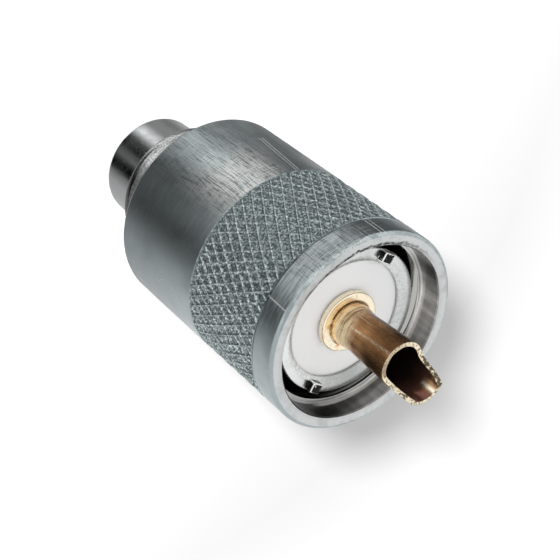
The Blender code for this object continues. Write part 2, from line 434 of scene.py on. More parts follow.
@dataclass(frozen=True)
class DrawnNickel(Finish):
    """Dull nickel plate with fine marks drawn along the ring, a painted highlight of worn lines on one side
    and a few deep scratches.
    """

    light: Triple = (0.518, 0.58, 0.592)
    dark: Triple = (0.288, 0.335, 0.343)
    # Colour of the painted highlight's bright lines, partly worn-through plate.
    worn_and_highlight: Triple = (0.95, 0.95, 0.92)
    scored: Triple = (0.15, 0.17, 0.17)
    nicked: Triple = (0.75, 0.76, 0.74)
    fresh_cut: Triple = (0.88, 0.89, 0.87)
    marks: float = 5200.0
    mark_depth: float = 0.006 * MM
    nick_spacing: float = 900.0
    worn_highlight_share: float = 0.92
    # Where the painted highlight lies round the turn, and the heights over which it brightens towards the
    # knurl.
    highlight_near: Triple = (-57.0, -23.0, 12.0)
    highlight_far: Triple = (130.0, 165.0, 14.0)
    hatched_near: Triple = (-62.0, 2.0, 14.0)
    hatched_far: Triple = (115.0, 172.0, 14.0)
    highlight_low: float = 13.5 * MM
    highlight_high: float = 18.5 * MM
    front_band: float = 30.0 * MM

    def lay(self, graph: Graph) -> Signal:
        """Builds the drawn marks, the painted highlight with its worn lines, the scratches, dull patches and
        small nicks.

        Args:
            graph: The material's tree.

        Returns:
            The surface.
        """
        place, _, azimuth, height = graph.polar()
        fine = graph.length_streaks(self.marks, 24.0)
        finest = graph.length_streaks(self.marks * 1.8, 16.0, 2.0)
        broad = graph.length_streaks(self.marks / 9.0, 30.0)
        crests = graph.length_streaks(self.marks / 3.0, 60.0, 1.0).spread(0.66, 0.74)
        across = graph.lathe_rings(self.marks * 1.7, 12.0, 2.0)
        patches = graph.noise(place, 260.0, 3.0, 0.55)
        grain = graph.noise(place, 10000.0, 1.0, 0.7)
        nicks = graph.add("ShaderNodeTexVoronoi", "Distance", Vector=place, Scale=self.nick_spacing)
        nick = nicks.spread(0.04, 0.10, 1.0, 0.0)
        onto_front = (self.front_band - 1.0 * MM, self.front_band)
        marked = azimuth.spread(-27.0, -8.0, 1.0, 0.08).at_least(azimuth.spread(95.0, 125.0))

        hatched_side = azimuth.within(*self.hatched_near).at_least(azimuth.within(*self.hatched_far))
        hatched = (across - 0.5) * (hatched_side * height.spread(*onto_front, 0.45, 1.8))
        speckled = fine * 0.55 + broad * 0.45 + (grain - 0.5) * 0.35
        swing = (speckled - 0.5) * marked + hatched
        plate = graph.mix(swing.spread(-0.14, 0.14), self.dark, self.light)
        dulled = graph.mix(patches.spread(0.48, 0.75, 0.0, 0.5), plate, self.dark)

        # Painted highlight on one side, brightening towards the knurl; its bright lines are partly worn plate
        # and partly painted light.
        highlight_side = azimuth.within(*self.highlight_near).at_least(azimuth.within(*self.highlight_far) * 0.6)
        highlight_rise = height.spread(self.highlight_low, self.highlight_high, 0.1, 1.0)
        painted_highlight = highlight_side * (highlight_rise * height.spread(*onto_front, 1.0, 0.3))
        lines = finest.spread(0.44, 0.54).at_least(across.spread(0.46, 0.56, 0.0, 0.9))
        patchy = painted_highlight * patches.spread(0.38, 0.55, 0.55, 1.0)
        worn_highlight_lines = lines * patchy * grain.spread(0.36, 0.56, 0.55, 1.0)
        worn_highlight_plate = graph.mix(worn_highlight_lines * self.worn_highlight_share, dulled, self.worn_and_highlight)
        dark_lines = finest.spread(0.45, 0.37, 0.0, 0.65) * highlight_side
        lined = graph.mix(dark_lines, worn_highlight_plate, self.scored)
        worn = graph.mix(nick * 0.5, lined, self.nicked)
        cut = scratched(RING_SCRATCHES, azimuth, height)

        coarse = (crests * marked).bump(self.mark_depth * 1.6)
        crossed = across.bump(self.mark_depth * 0.5, coarse)
        drawn = (fine * marked).bump(self.mark_depth, crossed)
        grained = grain.bump(self.mark_depth * 0.35, drawn)
        return graph.surface(
            graph.mix(cut, worn, self.fresh_cut),
            patches.spread(0.35, 0.7, 0.27, 0.36) + cut * 0.3,
            nick.bump(-self.mark_depth, grained),
            Anisotropic=0.8,
            Tangent=graph.add("ShaderNodeTangent", direction_type="RADIAL", axis="Z"),
        )


@dataclass(frozen=True)
class KnurledNickel(Finish):
    """Nickel plate over a rolled knurl: bright on the ridges, rough and dark in the pits."""

    ridge_radius: float
    pit_radius: float
    low: float
    high: float
    ridge: Triple = (0.90, 1.0, 1.0)
    pit: Triple = (0.10, 0.133, 0.138)
    fleck_spacing: float = 5600.0
    gouge_spacing: float = 2900.0
    flecked: Triple = (8.0, 55.0, 20.0)
    rear_margin: float = 0.24 * MM
    front_margin: float = 0.16 * MM
    # Crest brightness round the turn: painted light and shade.
    painted_crest_light: Tones = (
        (-180.0, 0.85), (-66.0, 0.85), (-48.0, 1.05), (-24.0, 1.05), (-6.0, 0.62), (22.0, 0.66),
        (42.0, 0.85), (180.0, 0.85),
    )

    def lay(self, graph: Graph) -> Signal:
        """Builds the change of tone with depth, the crests' painted light round the turn, the bright flecks
        and the dark gouges of torn metal.

        Args:
            graph: The material's tree.

        Returns:
            The surface.
        """
        place, radius, azimuth, along = graph.polar()
        grain = graph.noise(place, self.fleck_spacing, 1.0, 0.6)
        gouge = graph.noise(place, self.gouge_spacing, 2.0, 0.6)
        depth = radius.spread(self.pit_radius, self.ridge_radius)
        # Crests brighter towards their tops, scaled round the turn by painted light.
        crest = depth ** 2.4 * graph.tones(azimuth, self.painted_crest_light)
        more_flecks = azimuth.within(*self.flecked).spread(0.0, 1.0, 0.50, 0.64)
        share = grain.spread(0.44, 0.62) * more_flecks + crest
        ragged = along + (gouge - 0.5) * (0.5 * MM)
        inside = ragged.within(self.low + self.rear_margin, self.high - self.front_margin, 0.08 * MM)
        kept = gouge.spread(0.34, 0.44, 0.35, 1.0) * inside.spread(0.0, 1.0, 0.45, 1.0)
        held = (share * kept).spread(0.0, 1.0, 0.05, 1.0)
        return graph.surface(
            graph.mix(held, self.pit, self.ridge), held.spread(0.0, 1.0, 0.62, 0.3), grain.bump(0.045 * MM)
        )


@dataclass(frozen=True)
class BrightNickel(Finish):
    """Polished nickel plate with turning marks, a slight waviness and small pits."""

    colour: Triple
    stain: Triple = (0.50, 0.47, 0.42)
    roughness: float = 0.12
    ripple: float = 0.010 * MM
    stain_share: float = 0.35

    def lay(self, graph: Graph) -> Signal:
        """Builds the stains, the turning marks and the waviness.

        Args:
            graph: The material's tree.

        Returns:
            The surface.
        """
        place = graph.place()
        cloud = graph.noise(place, 420.0, 4.0, 0.6)
        stained = cloud.spread(0.50, 0.72, 0.0, self.stain_share)
        wave = graph.noise(place, 700.0, 2.0, 0.5).bump(self.ripple)
        marks = graph.lathe_rings(9000.0, 40.0).bump(self.ripple * 0.12, wave)
        specks = graph.noise(place, 7000.0, 1.0, 0.5).spread(0.68, 0.76)
        return graph.surface(
            graph.mix(stained, self.colour, self.stain),
            cloud.spread(0.3, 0.75, self.roughness, self.roughness * 2.2),
            specks.bump(-0.006 * MM, marks),
        )


@dataclass(frozen=True)
class FacedNickel(Finish):
    """Bright nickel plate on a flat end, with the rings of a facing cut and burrs at its inner edge."""

    colour: Triple = (0.60, 0.615, 0.615)
    dull: Triple = (0.44, 0.455, 0.455)
    burr: Triple = (0.05, 0.055, 0.055)
    inner_edge: float = 7.98 * MM
    burr_width: float = 0.2 * MM
    burred_side: Triple = (-74.0, -30.0, 44.0)

    def lay(self, graph: Graph) -> Signal:
        """Builds the facing rings, the worn patches and the dark burrs.

        Args:
            graph: The material's tree.

        Returns:
            The surface.
        """
        place, radius, azimuth, _ = graph.polar()
        worn = graph.noise(place, 900.0, 4.0, 0.65)
        torn = graph.noise(place, 2600.0, 3.0, 0.6)
        plate = graph.mix(worn.spread(0.46, 0.68, 0.0, 0.8), self.colour, self.dull)
        outwards = radius + (worn - 0.5) * (0.9 * MM) - self.inner_edge
        near_edge = abs(outwards).spread(0.3 * self.burr_width, self.burr_width, 1.0, 0.0)
        strength = azimuth.within(*self.burred_side) * 0.9 + 0.1
        burred = near_edge * torn.spread(0.32, 0.48) * strength
        pitted = worn.bump(0.02 * MM)
        return graph.surface(
            graph.mix(burred, plate, self.burr),
            worn.spread(0.3, 0.7, 0.24, 0.42),
            graph.facing_rings(11000.0).bump(0.003 * MM, pitted),
        )


@dataclass(frozen=True)
class RawNickel(Finish):
    """Rough plate, mottled dark where it has tarnished, and darker round the turn where its tones say so."""

    dark: Triple
    grain: float
    colour: Triple = (0.78, 0.80, 0.79)
    depth: float = 0.05 * MM
    bright_from: float = 0.42
    bright_until: float = 0.60
    # Brightness round the turn; where given, painted light and shade.
    tones: Tones = ((-180.0, 1.0), (180.0, 1.0))

    def lay(self, graph: Graph) -> Signal:
        """Builds a mottled, uneven plate.

        Args:
            graph: The material's tree.

        Returns:
            The surface.
        """
        place, _, azimuth, _ = graph.polar()
        mottle = graph.noise(place, self.grain, 3.0, 0.6)
        plate = graph.mix(mottle.spread(self.bright_from, self.bright_until), self.dark, self.colour)
        toned = graph.tinted(plate, graph.tones(azimuth, self.tones))
        return graph.surface(toned, 0.22, mottle.bump(self.depth))


@dataclass(frozen=True)
class FlangeNickel(Finish):
    """The body's front face: bright plate with painted light and shade round the turn, with a mottled rolled
    lip.
    """

    colour: Triple = (0.90, 0.92, 0.91)
    stain: Triple = (0.34, 0.37, 0.34)
    # The face's brightness round the turn: painted light and shade.
    painted_face_shading: Tones = (
        (-180.0, 0.66), (-150.0, 0.68), (-125.0, 0.74), (-100.0, 0.78), (-60.0, 0.75), (-45.0, 0.82),
        (-30.0, 1.0), (0.0, 1.0), (50.0, 0.88), (85.0, 0.80), (105.0, 0.58), (125.0, 0.48), (150.0, 0.58),
        (180.0, 0.66),
    )
    lip_outer: float = 6.0 * MM

    def lay(self, graph: Graph) -> Signal:
        """Builds the painted light and shade round the turn, the mottled rolled lip and small stains.

        Args:
            graph: The material's tree.

        Returns:
            The surface.
        """
        place, radius, azimuth, _ = graph.polar()
        cloud = graph.noise(place, 800.0, 2.0, 0.5)
        speck = graph.noise(place, 4200.0, 2.0, 0.6)
        # Painted light and shade: the plate is darkened round the turn.
        toned = graph.tinted(self.colour, graph.tones(azimuth, self.painted_face_shading))
        plate = graph.mix(cloud.spread(0.54, 0.72, 0.0, 0.22), toned, self.stain)
        lip = 1.0 - radius.spread(self.lip_outer - 0.12 * MM, self.lip_outer + 0.05 * MM)
        mottled = lip * speck.spread(0.46, 0.60, 0.0, 0.35)
        pits = (speck * lip).bump(0.008 * MM)
        return graph.surface(
            graph.mix(mottled, plate, self.stain),
            cloud.spread(0.3, 0.75, 0.20, 0.34),
            cloud.bump(0.008 * MM, pits),
        )


@dataclass(frozen=True)
class MouthNickel(Finish):
    """The ring's mouth: satin plate with painted light and shade round the turn, a painted pale band near the
    wall's base and painted shade deep below the step.
    """

    step_height: float
    step_drop: float
    # Heights between which the painted shade below the step fades in.
    unshaded_above: float
    deep_shade_below: float
    colour: Triple = (0.97, 0.955, 0.92)
    foot: Triple = (0.97, 0.96, 0.93)
    step: Triple = (0.95, 0.96, 0.95)
    step_stain: Triple = (0.45, 0.45, 0.43)
    groove: Triple = (0.10, 0.10, 0.10)
    thread: Triple = (0.46, 0.46, 0.44)
    # Painted shade: the near-black colour deep below the step.
    deep_shade: Triple = (0.012, 0.012, 0.011)
    # Brightness round the turn: painted light and shade on the wall and step.
    painted_shading: Tones = (
        (-180.0, 0.40), (-170.0, 0.70), (-163.0, 1.0), (-147.0, 1.0), (-136.0, 0.62), (-121.0, 0.06),
        (-106.0, 0.46), (-90.0, 0.72), (0.0, 0.80), (82.0, 0.03), (95.0, 0.04), (105.0, 0.10), (120.0, 0.38),
        (135.0, 0.72), (150.0, 0.85), (165.0, 0.60), (180.0, 0.40),
    )
    # Where the painted pale band near the wall's base is left out.
    highlight_gap_far: Triple = (-137.0, -106.0, 8.0)
    highlight_gap_near: Triple = (68.0, 97.0, 8.0)
    pale_side: Triple = (-172.0, -132.0, 14.0)
    higher_shade_side: Triple = (88.0, 155.0, 14.0)
    metal_share: float = 0.72
    chalky_share: float = 0.30
    shaded_rim: float = 0.45

    def lay(self, graph: Graph) -> Signal:
        """Builds the painted light and shade round the turn, the soft marks along the wall, the painted pale
        band near its base, the turned step and the painted shade below it.

        Args:
            graph: The material's tree.

        Returns:
            The surface.
        """
        place, _, azimuth, height = graph.polar()
        floor = self.step_height
        soft = graph.length_streaks(1700.0, 8.0)
        cloud = graph.noise(place, 1100.0, 3.0, 0.6)
        toned = graph.tinted(self.colour, graph.tones(azimuth, self.painted_shading))

        dull = azimuth.within(*self.highlight_gap_far).at_least(azimuth.within(*self.highlight_gap_near))
        # Painted highlight: a pale band near the wall's base, also less metallic.
        wall_base_highlight = height.within(floor, floor + 0.32 * MM, 0.1 * MM) * 0.6 * (1.0 - dull)
        chalky = azimuth.within(*self.pale_side).at_least(wall_base_highlight)
        wall_metal = chalky.spread(0.0, 1.0, self.metal_share, self.chalky_share)
        to_rim = height.spread(floor, floor + 1.8 * MM, 1.0, self.shaded_rim)
        shaded = graph.tinted(toned, to_rim * soft.spread(0.38, 0.62, 0.62, 1.0))
        wall = graph.mix(wall_base_highlight, shaded, self.foot)

        clean_step = graph.mix(cloud.spread(0.5, 0.7, 0.0, 0.4), self.step, self.step_stain)
        grooves = graph.facing_rings(8500.0).spread(0.42, 0.52, 0.6, 0.0)
        step = graph.mix(grooves, graph.mix(0.6, clean_step, toned), self.groove)
        thread_front = floor - self.step_drop
        on_thread = height.spread(thread_front, thread_front + 0.1 * self.step_drop, 1.0, 0.0)
        on_wall = height.spread(floor, floor + 0.04 * MM)
        unshaded_colour = graph.mix(on_wall, graph.mix(on_thread, step, self.thread), wall)
        # Painted shade: near black below the step, reaching higher on one side.
        shade_lift = azimuth.within(*self.higher_shade_side) * (0.55 * MM)
        clean = (height - shade_lift).spread(self.deep_shade_below, self.unshaded_above)
        marks = soft.bump(0.010 * MM)
        return graph.surface(
            graph.mix(clean, self.deep_shade, unshaded_colour),
            on_wall.spread(0.0, 1.0, 0.14, 0.22),
            cloud.bump(0.004 * MM, marks),
            wall_metal.at_least(on_thread),
        )


@dataclass(frozen=True)
class WaxyPlastic(Finish):
    """White fluoropolymer: smooth, slightly see-through, with faint facing rings."""

    colour: Triple = (0.975, 0.985, 1.0)
    shade: Triple = (0.955, 0.97, 0.985)

    def lay(self, graph: Graph) -> Signal:
        """Builds the faint clouding and rings.

        Args:
            graph: The material's tree.

        Returns:
            The surface.
        """
        place = graph.place()
        cloud = graph.noise(place, 330.0, 3.0, 0.5)
        return graph.surface(
            graph.mix(cloud.spread(0.35, 0.75), self.colour, self.shade),
            0.42,
            graph.facing_rings(9000.0).bump(0.0015 * MM),
            0.0,
            Subsurface_Weight=0.25,
            Subsurface_Radius=WHITE,
            Subsurface_Scale=0.4 * MM,
        )


@dataclass(frozen=True)
class TarnishedBrass(Finish):
    """Brass that has gone brown along the barrel and stays pale on the flange and neck."""

    pale: Triple = (0.97, 0.87, 0.67)
    brown: Triple = (0.70, 0.365, 0.17)
    deep: Triple = (0.25, 0.118, 0.052)
    ochre: Triple = (0.54, 0.33, 0.17)
    neck_gold: Triple = (1.0, 0.77, 0.46)
    groove: Triple = (0.36, 0.19, 0.09)
    groove_foot_dark: Triple = (0.10, 0.05, 0.03)
    highlight: float = 0.9
    groove_width: float = 0.08 * MM
    dark_side: Triple = (-150.0, -6.0, 16.0)
    # The barrel's brightness round the turn: painted light and shade.
    barrel_painted_light: Tones = (
        (-180.0, 0.60), (-110.0, 0.20), (-84.0, 0.24), (-68.0, 0.80), (-40.0, 0.80), (-14.0, 1.0),
        (8.0, 0.78), (28.0, 0.42), (45.0, 0.80), (62.0, 1.0), (90.0, 0.80), (180.0, 0.60),
    )
    pale_until: float = 32.5 * MM
    brown_from: float = 33.6 * MM
    neck_from: float = 30.9 * MM
    neck_radius: float = 2.05 * MM

    def lay(self, graph: Graph) -> Signal:
        """Builds the brown tarnishing, its stains on the pale metal, the turning marks of the neck, the
        darker groove at its base, the barrel's painted light and shade round the turn and its painted
        highlight line.

        Args:
            graph: The material's tree.

        Returns:
            The surface.
        """
        place, radius, azimuth, height = graph.polar()
        cloud = graph.noise(place, 620.0, 4.0, 0.6)
        blotch = graph.noise(place, 380.0, 3.0, 0.6)
        spots = graph.noise(place, 1700.0, 4.0, 0.65)
        drawn = graph.length_streaks(4200.0, 14.0)
        turned = graph.lathe_rings(6500.0, 18.0, 2.0)
        dark_side = azimuth.within(*self.dark_side)

        lead = dark_side * azimuth.spread(-80.0, -10.0, 0.9 * MM, 0.2 * MM)
        earlier = (cloud - 0.5) * (2.2 * MM) + lead
        along = (height + earlier).spread(self.pale_until, self.brown_from)
        mottled = graph.mix((drawn * 0.45 + blotch * 0.55).spread(0.38, 0.64), self.brown, self.deep)
        barrel = graph.tinted(mottled, graph.tones(azimuth, self.barrel_painted_light))

        above_flange = height.spread(self.neck_from, self.neck_from + 0.1 * MM)
        on_neck = above_flange * radius.spread(self.neck_radius, self.neck_radius + 0.1 * MM, 1.0, 0.0)
        neck_dark = on_neck * dark_side
        gold = graph.mix(on_neck * 0.75, self.pale, self.neck_gold)
        ground = graph.mix(neck_dark * azimuth.spread(-95.0, -50.0, 0.7, 0.15), gold, self.ochre)
        stained = graph.mix(spots.spread(0.55, 0.68, 0.0, 0.75), ground, self.brown)
        grooves = turned.spread(0.50, 0.58) * (on_neck * 0.3 + neck_dark * 0.5)
        turned_neck = graph.mix(grooves, stained, self.groove)
        # Darker in the groove at the neck's base, more so on the dark side.
        in_groove = radius.spread(self.neck_radius - 0.08 * MM, self.neck_radius - 0.03 * MM, 1.0, 0.0)
        low_down = height.spread(self.neck_from, self.neck_from + self.groove_width, 1.0, 0.0)
        groove_foot_share = (spots + dark_side * 0.2).spread(0.42, 0.56, 0.3, 0.9)
        neck = graph.mix(in_groove * low_down * groove_foot_share, turned_neck, self.groove_foot_dark)

        # Painted highlight: a broken bright line along the barrel, beside one thin scratch.
        sparks = graph.noise(place, 9500.0, 2.0, 0.7).spread(0.42, 0.60)
        broken = scratched(PIN_HIGHLIGHT_AND_SCRATCH, azimuth, height) * sparks
        whole = graph.mix(along, neck, barrel)
        rings = (turned * (1.0 - along)).bump(0.012 * MM)
        return graph.surface(
            graph.mix(broken * self.highlight, whole, self.pale),
            drawn.spread(0.3, 0.7, 0.17, 0.30),
            drawn.bump(0.004 * MM, rings),
        )


@dataclass(frozen=True)
class CutBrass(Finish):
    """Bright brass where the pin's tip was milled, with dark burrs."""

    bright: Triple = (0.95, 0.83, 0.62)
    burr: Triple = (0.13, 0.11, 0.07)
    burr_height: float = 38.4 * MM
    burred_edge: Triple = (-180.0, -95.0, 10.0)

    def lay(self, graph: Graph) -> Signal:
        """Builds the burrs on the bright metal, most of them along one cut edge.

        Args:
            graph: The material's tree.

        Returns:
            The surface.
        """
        place, _, azimuth, height = graph.polar()
        torn = graph.noise(place, 4200.0, 3.0, 0.7)
        rougher = height.spread(self.burr_height - 0.9 * MM, self.burr_height, 0.0, 0.05)
        raised = rougher + azimuth.within(*self.burred_edge) * 0.11 * rougher.spread(0.0, 0.03)
        share = (torn + raised).spread(0.54, 0.64)
        return graph.surface(graph.mix(share, self.bright, self.burr), 0.30, torn.bump(0.05 * MM))


@dataclass(frozen=True)
class DarkDeepBore(Finish):
    """The pin's bore: nearly black deep inside, reddish at the tip, with a painted sheen and a painted glint
    line near the tip.
    """

    black: Triple = (0.035, 0.022, 0.016)
    copper: Triple = (0.20, 0.085, 0.065)
    painted_sheen: Triple = (0.58, 0.38, 0.20)
    painted_highlight: Triple = (1.0, 0.92, 0.78)
    black_until: float = 37.4 * MM
    copper_from: float = 39.8 * MM
    # A painted sheen and, inside it, a painted glint line, both fading in towards the tip.
    glow: Scratch = Scratch(168.0, 38.7 * MM, 40.6 * MM, -1.5, 20.0)
    streak: Scratch = Scratch(163.0, 38.7 * MM, 40.6 * MM, -1.5, 8.0)

    def lay(self, graph: Graph) -> Signal:
        """Builds the change from black to copper, and the painted sheen and glint line near the tip.

        Args:
            graph: The material's tree.

        Returns:
            The surface.
        """
        place, _, azimuth, height = graph.polar()
        cloud = graph.noise(place, 900.0, 3.0, 0.6)
        edge = height + (cloud - 0.5) * (2.0 * MM)
        reddened = graph.mix(edge.spread(self.black_until, self.copper_from), self.black, self.copper)
        # Painted sheen and glint: bright colour laid near the tip.
        to_tip = height.spread(self.glow.low, self.glow.low + 0.7 * MM)
        sheened = graph.mix(self.glow.mask(azimuth, height) * to_tip, reddened, self.painted_sheen)
        return graph.surface(
            graph.mix(self.streak.mask(azimuth, height) * to_tip, sheened, self.painted_highlight),
            0.16,
            graph.length_streaks(5200.0, 10.0).bump(0.008 * MM),
            0.8,
        )


def in_scene(name: str, data: ID) -> Object:
    """Makes an object of some data and links it to the scene."""
    obj = bpy.data.objects.new(name, data)
    bpy.context.scene.collection.objects.link(obj)
    return obj


def object_of(name: str, bm: BMesh, finishes: list[Material]) -> Object:
    """Makes an object of a mesh that is being built, which is used up.

    Args:
        name: The object's name.
        bm: The mesh.
        finishes: Its materials.

    Returns:
        The object, at the origin.
    """
    mesh = bpy.data.meshes.new(name)
    bm.to_mesh(mesh)
    bm.free()
    for finish in finishes:
        mesh.materials.append(finish)
    return in_scene(name, mesh)


def applied(obj: Object) -> Mesh:
    """Returns a plain mesh of an object with its modifiers applied, and takes them off it."""
    bpy.context.view_layer.update()
    made = obj.evaluated_get(bpy.context.evaluated_depsgraph_get())
    mesh = bpy.data.meshes.new_from_object(made)
    obj.modifiers.clear()
    return mesh


class Recipe:
    """A Geometry Nodes tree with named inputs, and the plain mesh that comes out of it."""

    def __init__(self, name: str) -> None:
        """Starts a tree with one geometry output."""
        self.tree = bpy.data.node_groups.new(name, "GeometryNodeTree")
        self.graph = Graph(self.tree)
        self.tree.interface.new_socket("Geometry", in_out="OUTPUT", socket_type="NodeSocketGeometry")
        self.entry = self.graph.node("NodeGroupInput")
        self.identifiers: dict[str, str] = {}

    def asks(self, kind: str, *names: str) -> list[Signal]:
        """Adds named inputs.

        Args:
            kind: Their socket type.
            names: Their names.

        Returns:
            Their values inside the tree.
        """
        for name in names:
            socket = self.tree.interface.new_socket(name, in_out="INPUT", socket_type=kind)
            self.identifiers[name] = socket.identifier
        return [Signal(self.graph, self.entry.outputs[name]) for name in names]

    def sheet(self, columns: Signal, rows: Signal) -> tuple[Signal, Signal, Signal]:
        """Adds a flat grid, which is then wrapped round the plug's axis.

        Args:
            columns: Faces round the axis.
            rows: Faces along it.

        Returns:
            The grid, and how far round and how far along each point lies, both from 0 to 1.
        """
        grid = self.graph.add(
            "GeometryNodeMeshGrid", Size_X=1.0, Size_Y=1.0, Vertices_X=columns + 1.0, Vertices_Y=rows + 1.0
        )
        x, y, _ = self.graph.parts(self.graph.add("GeometryNodeInputPosition"))
        return grid, x + 0.5, y + 0.5

    def wrap(self, grid: Signal, turn: Signal, radius: Signal, height: Signal) -> None:
        """Wraps the grid, welds it where it meets itself and closes the tree.

        Instances are made real and take the material that the tree asks for here.

        Args:
            grid: The grid.
            turn: Each point's place round the axis, 0 to 1.
            radius: Its distance from the axis.
            height: Its height.
        """
        graph = self.graph
        angle = turn * math.tau
        place = graph.vector(radius * graph.math("COSINE", angle), radius * graph.math("SINE", angle), height)
        moved = graph.add("GeometryNodeSetPosition", Geometry=grid, Position=place)
        welded = graph.add("GeometryNodeMergeByDistance", Geometry=moved, Distance=WELD)
        real = graph.add("GeometryNodeRealizeInstances", Geometry=welded)
        (finish,) = self.asks("NodeSocketMaterial", "Finish")
        dressed = graph.add("GeometryNodeSetMaterial", Geometry=real, Material=finish)
        graph.feed(graph.node("NodeGroupOutput").inputs[0], dressed)

    def mesh(self, values: dict[str, float | int | Material]) -> Mesh:
        """Runs the tree.

        Args:
            values: One value for each input, by name.

        Returns:
            The mesh that it makes.
        """
        host = in_scene("recipe_host", bpy.data.meshes.new("recipe_host"))
        modifier = host.modifiers.new("recipe", "NODES")
        modifier.node_group = self.tree
        for name, value in values.items():
            modifier[self.identifiers[name]] = value
        mesh = applied(host)
        bpy.data.objects.remove(host, do_unlink=True)
        return mesh


def knurl_recipe() -> Recipe:
    """Makes the recipe of a diamond knurl: two families of ridges that cross round a band.

    Returns:
        The recipe.
    """
    recipe = Recipe("diamond_knurl")
    graph = recipe.graph
    count, half_rows, columns, rows = recipe.asks("NodeSocketInt", "Ridges", "Half Rows", "Columns", "Rows")
    radius, rear, length = recipe.asks("NodeSocketFloat", "Radius", "Rear Height", "Length")
    rise, depth, width = recipe.asks("NodeSocketFloat", "Ridge Rise", "Pit Depth", "Ridge Share")
    runout, tear = recipe.asks("NodeSocketFloat", "Runout", "Torn Depth")
    wane, worn_at = recipe.asks("NodeSocketFloat", "Worn Share", "Worn Direction")
    grid, turn, along = recipe.sheet(columns, rows)
    round_steps = turn * count
    along_steps = along * half_rows * 0.5
    angle = turn * math.tau
    facing = graph.math("COSINE", angle - worn_at)
    ridges = []
    for phase, low, high in ((round_steps + along_steps, -1.0, 1.0), (round_steps - along_steps, 1.0, -1.0)):
        ridge = graph.math("PINGPONG", phase, 0.5).spread(0.0, width, 1.0, 0.0)
        ridges.append(ridge * (1.0 - facing.spread(low, high) * wane))
    from_end = along.at_most(1.0 - along) * length
    spot = graph.vector(graph.math("COSINE", angle), graph.math("SINE", angle), along)
    torn = graph.noise(spot, 60.0, 1.0, 0.5) - 0.5
    relief = ridges[0].at_least(ridges[1]) * (rise + depth) - depth
    rough = relief + torn * tear
    recipe.wrap(grid, turn, radius + rough * from_end.spread(0.0, runout), rear + along * length)
    return recipe


def thread_recipe() -> Recipe:
    """Makes the recipe of a right-hand thread on a wall, which runs out smoothly at both ends.

    Each row of points follows the helix, so the crests are clean lines. Rows beyond the ends collapse
    onto them and are welded away.

    Returns:
        The recipe.
    """
    recipe = Recipe("helical_thread")
    graph = recipe.graph
    columns, rows, per_turn = recipe.asks("NodeSocketInt", "Columns", "Rows", "Rows Per Turn")
    crest, depth, pitch = recipe.asks("NodeSocketFloat", "Crest Radius", "Depth Outwards", "Pitch")
    low, high, runout = recipe.asks("NodeSocketFloat", "Low End", "High End", "Runout")
    grid, turn, along = recipe.sheet(columns, rows)
    turns = graph.math("ROUND", along * rows) / per_turn
    lead = turns + turn - 1.0
    height = (low + lead * pitch).at_least(low).at_most(high)
    profile = graph.math("PINGPONG", turns, 0.5).spread(0.08, 0.42)
    from_end = (height - low).at_most(high - height)
    recipe.wrap(grid, turn, crest + profile * from_end.spread(0.0, runout) * depth, height)
    return recipe


@dataclass(frozen=True)
class Thread:
    """A thread's sizes."""

    sense: Sense
    crest_radius: float
    depth: float
    pitch: float
    low: float
    high: float
    runout: float
    rows_per_turn: int = 6

    def mesh(self, recipe: Recipe, columns: int, finish: Material) -> Mesh:
        """Makes the threaded wall.

        Args:
            recipe: The thread recipe.
            columns: Faces round the axis.
            finish: The wall's material.

        Returns:
            An open tube between the two ends.
        """
        values = {
            "Columns": columns,
            "Rows": math.ceil((self.high - self.low) / self.pitch + 1.0) * self.rows_per_turn,
            "Rows Per Turn": self.rows_per_turn,
            "Crest Radius": self.crest_radius,
            "Depth Outwards": self.sense.value * self.depth,
            "Pitch": self.pitch,
            "Low End": self.low,
            "High End": self.high,
            "Runout": self.runout,
            "Finish": finish,
        }
        return recipe.mesh(values)


def arc(centre: tuple[float, float], radius: float, start: float, end: float, steps: int = 5) -> Outline:
    """Finds the points of an arc in the turning plane.

    Args:
        centre: Its centre's distance from the axis and height.
        radius: Its radius.
        start: Start angle in degrees, from outwards towards up.
        end: End angle.
        steps: Straight pieces that it is made of.

    Returns:
        The points, both ends included.
    """
    angles = [math.radians(start + (end - start) * step / steps) for step in range(steps + 1)]
    return [(centre[0] + radius * math.cos(a), centre[1] + radius * math.sin(a)) for a in angles]


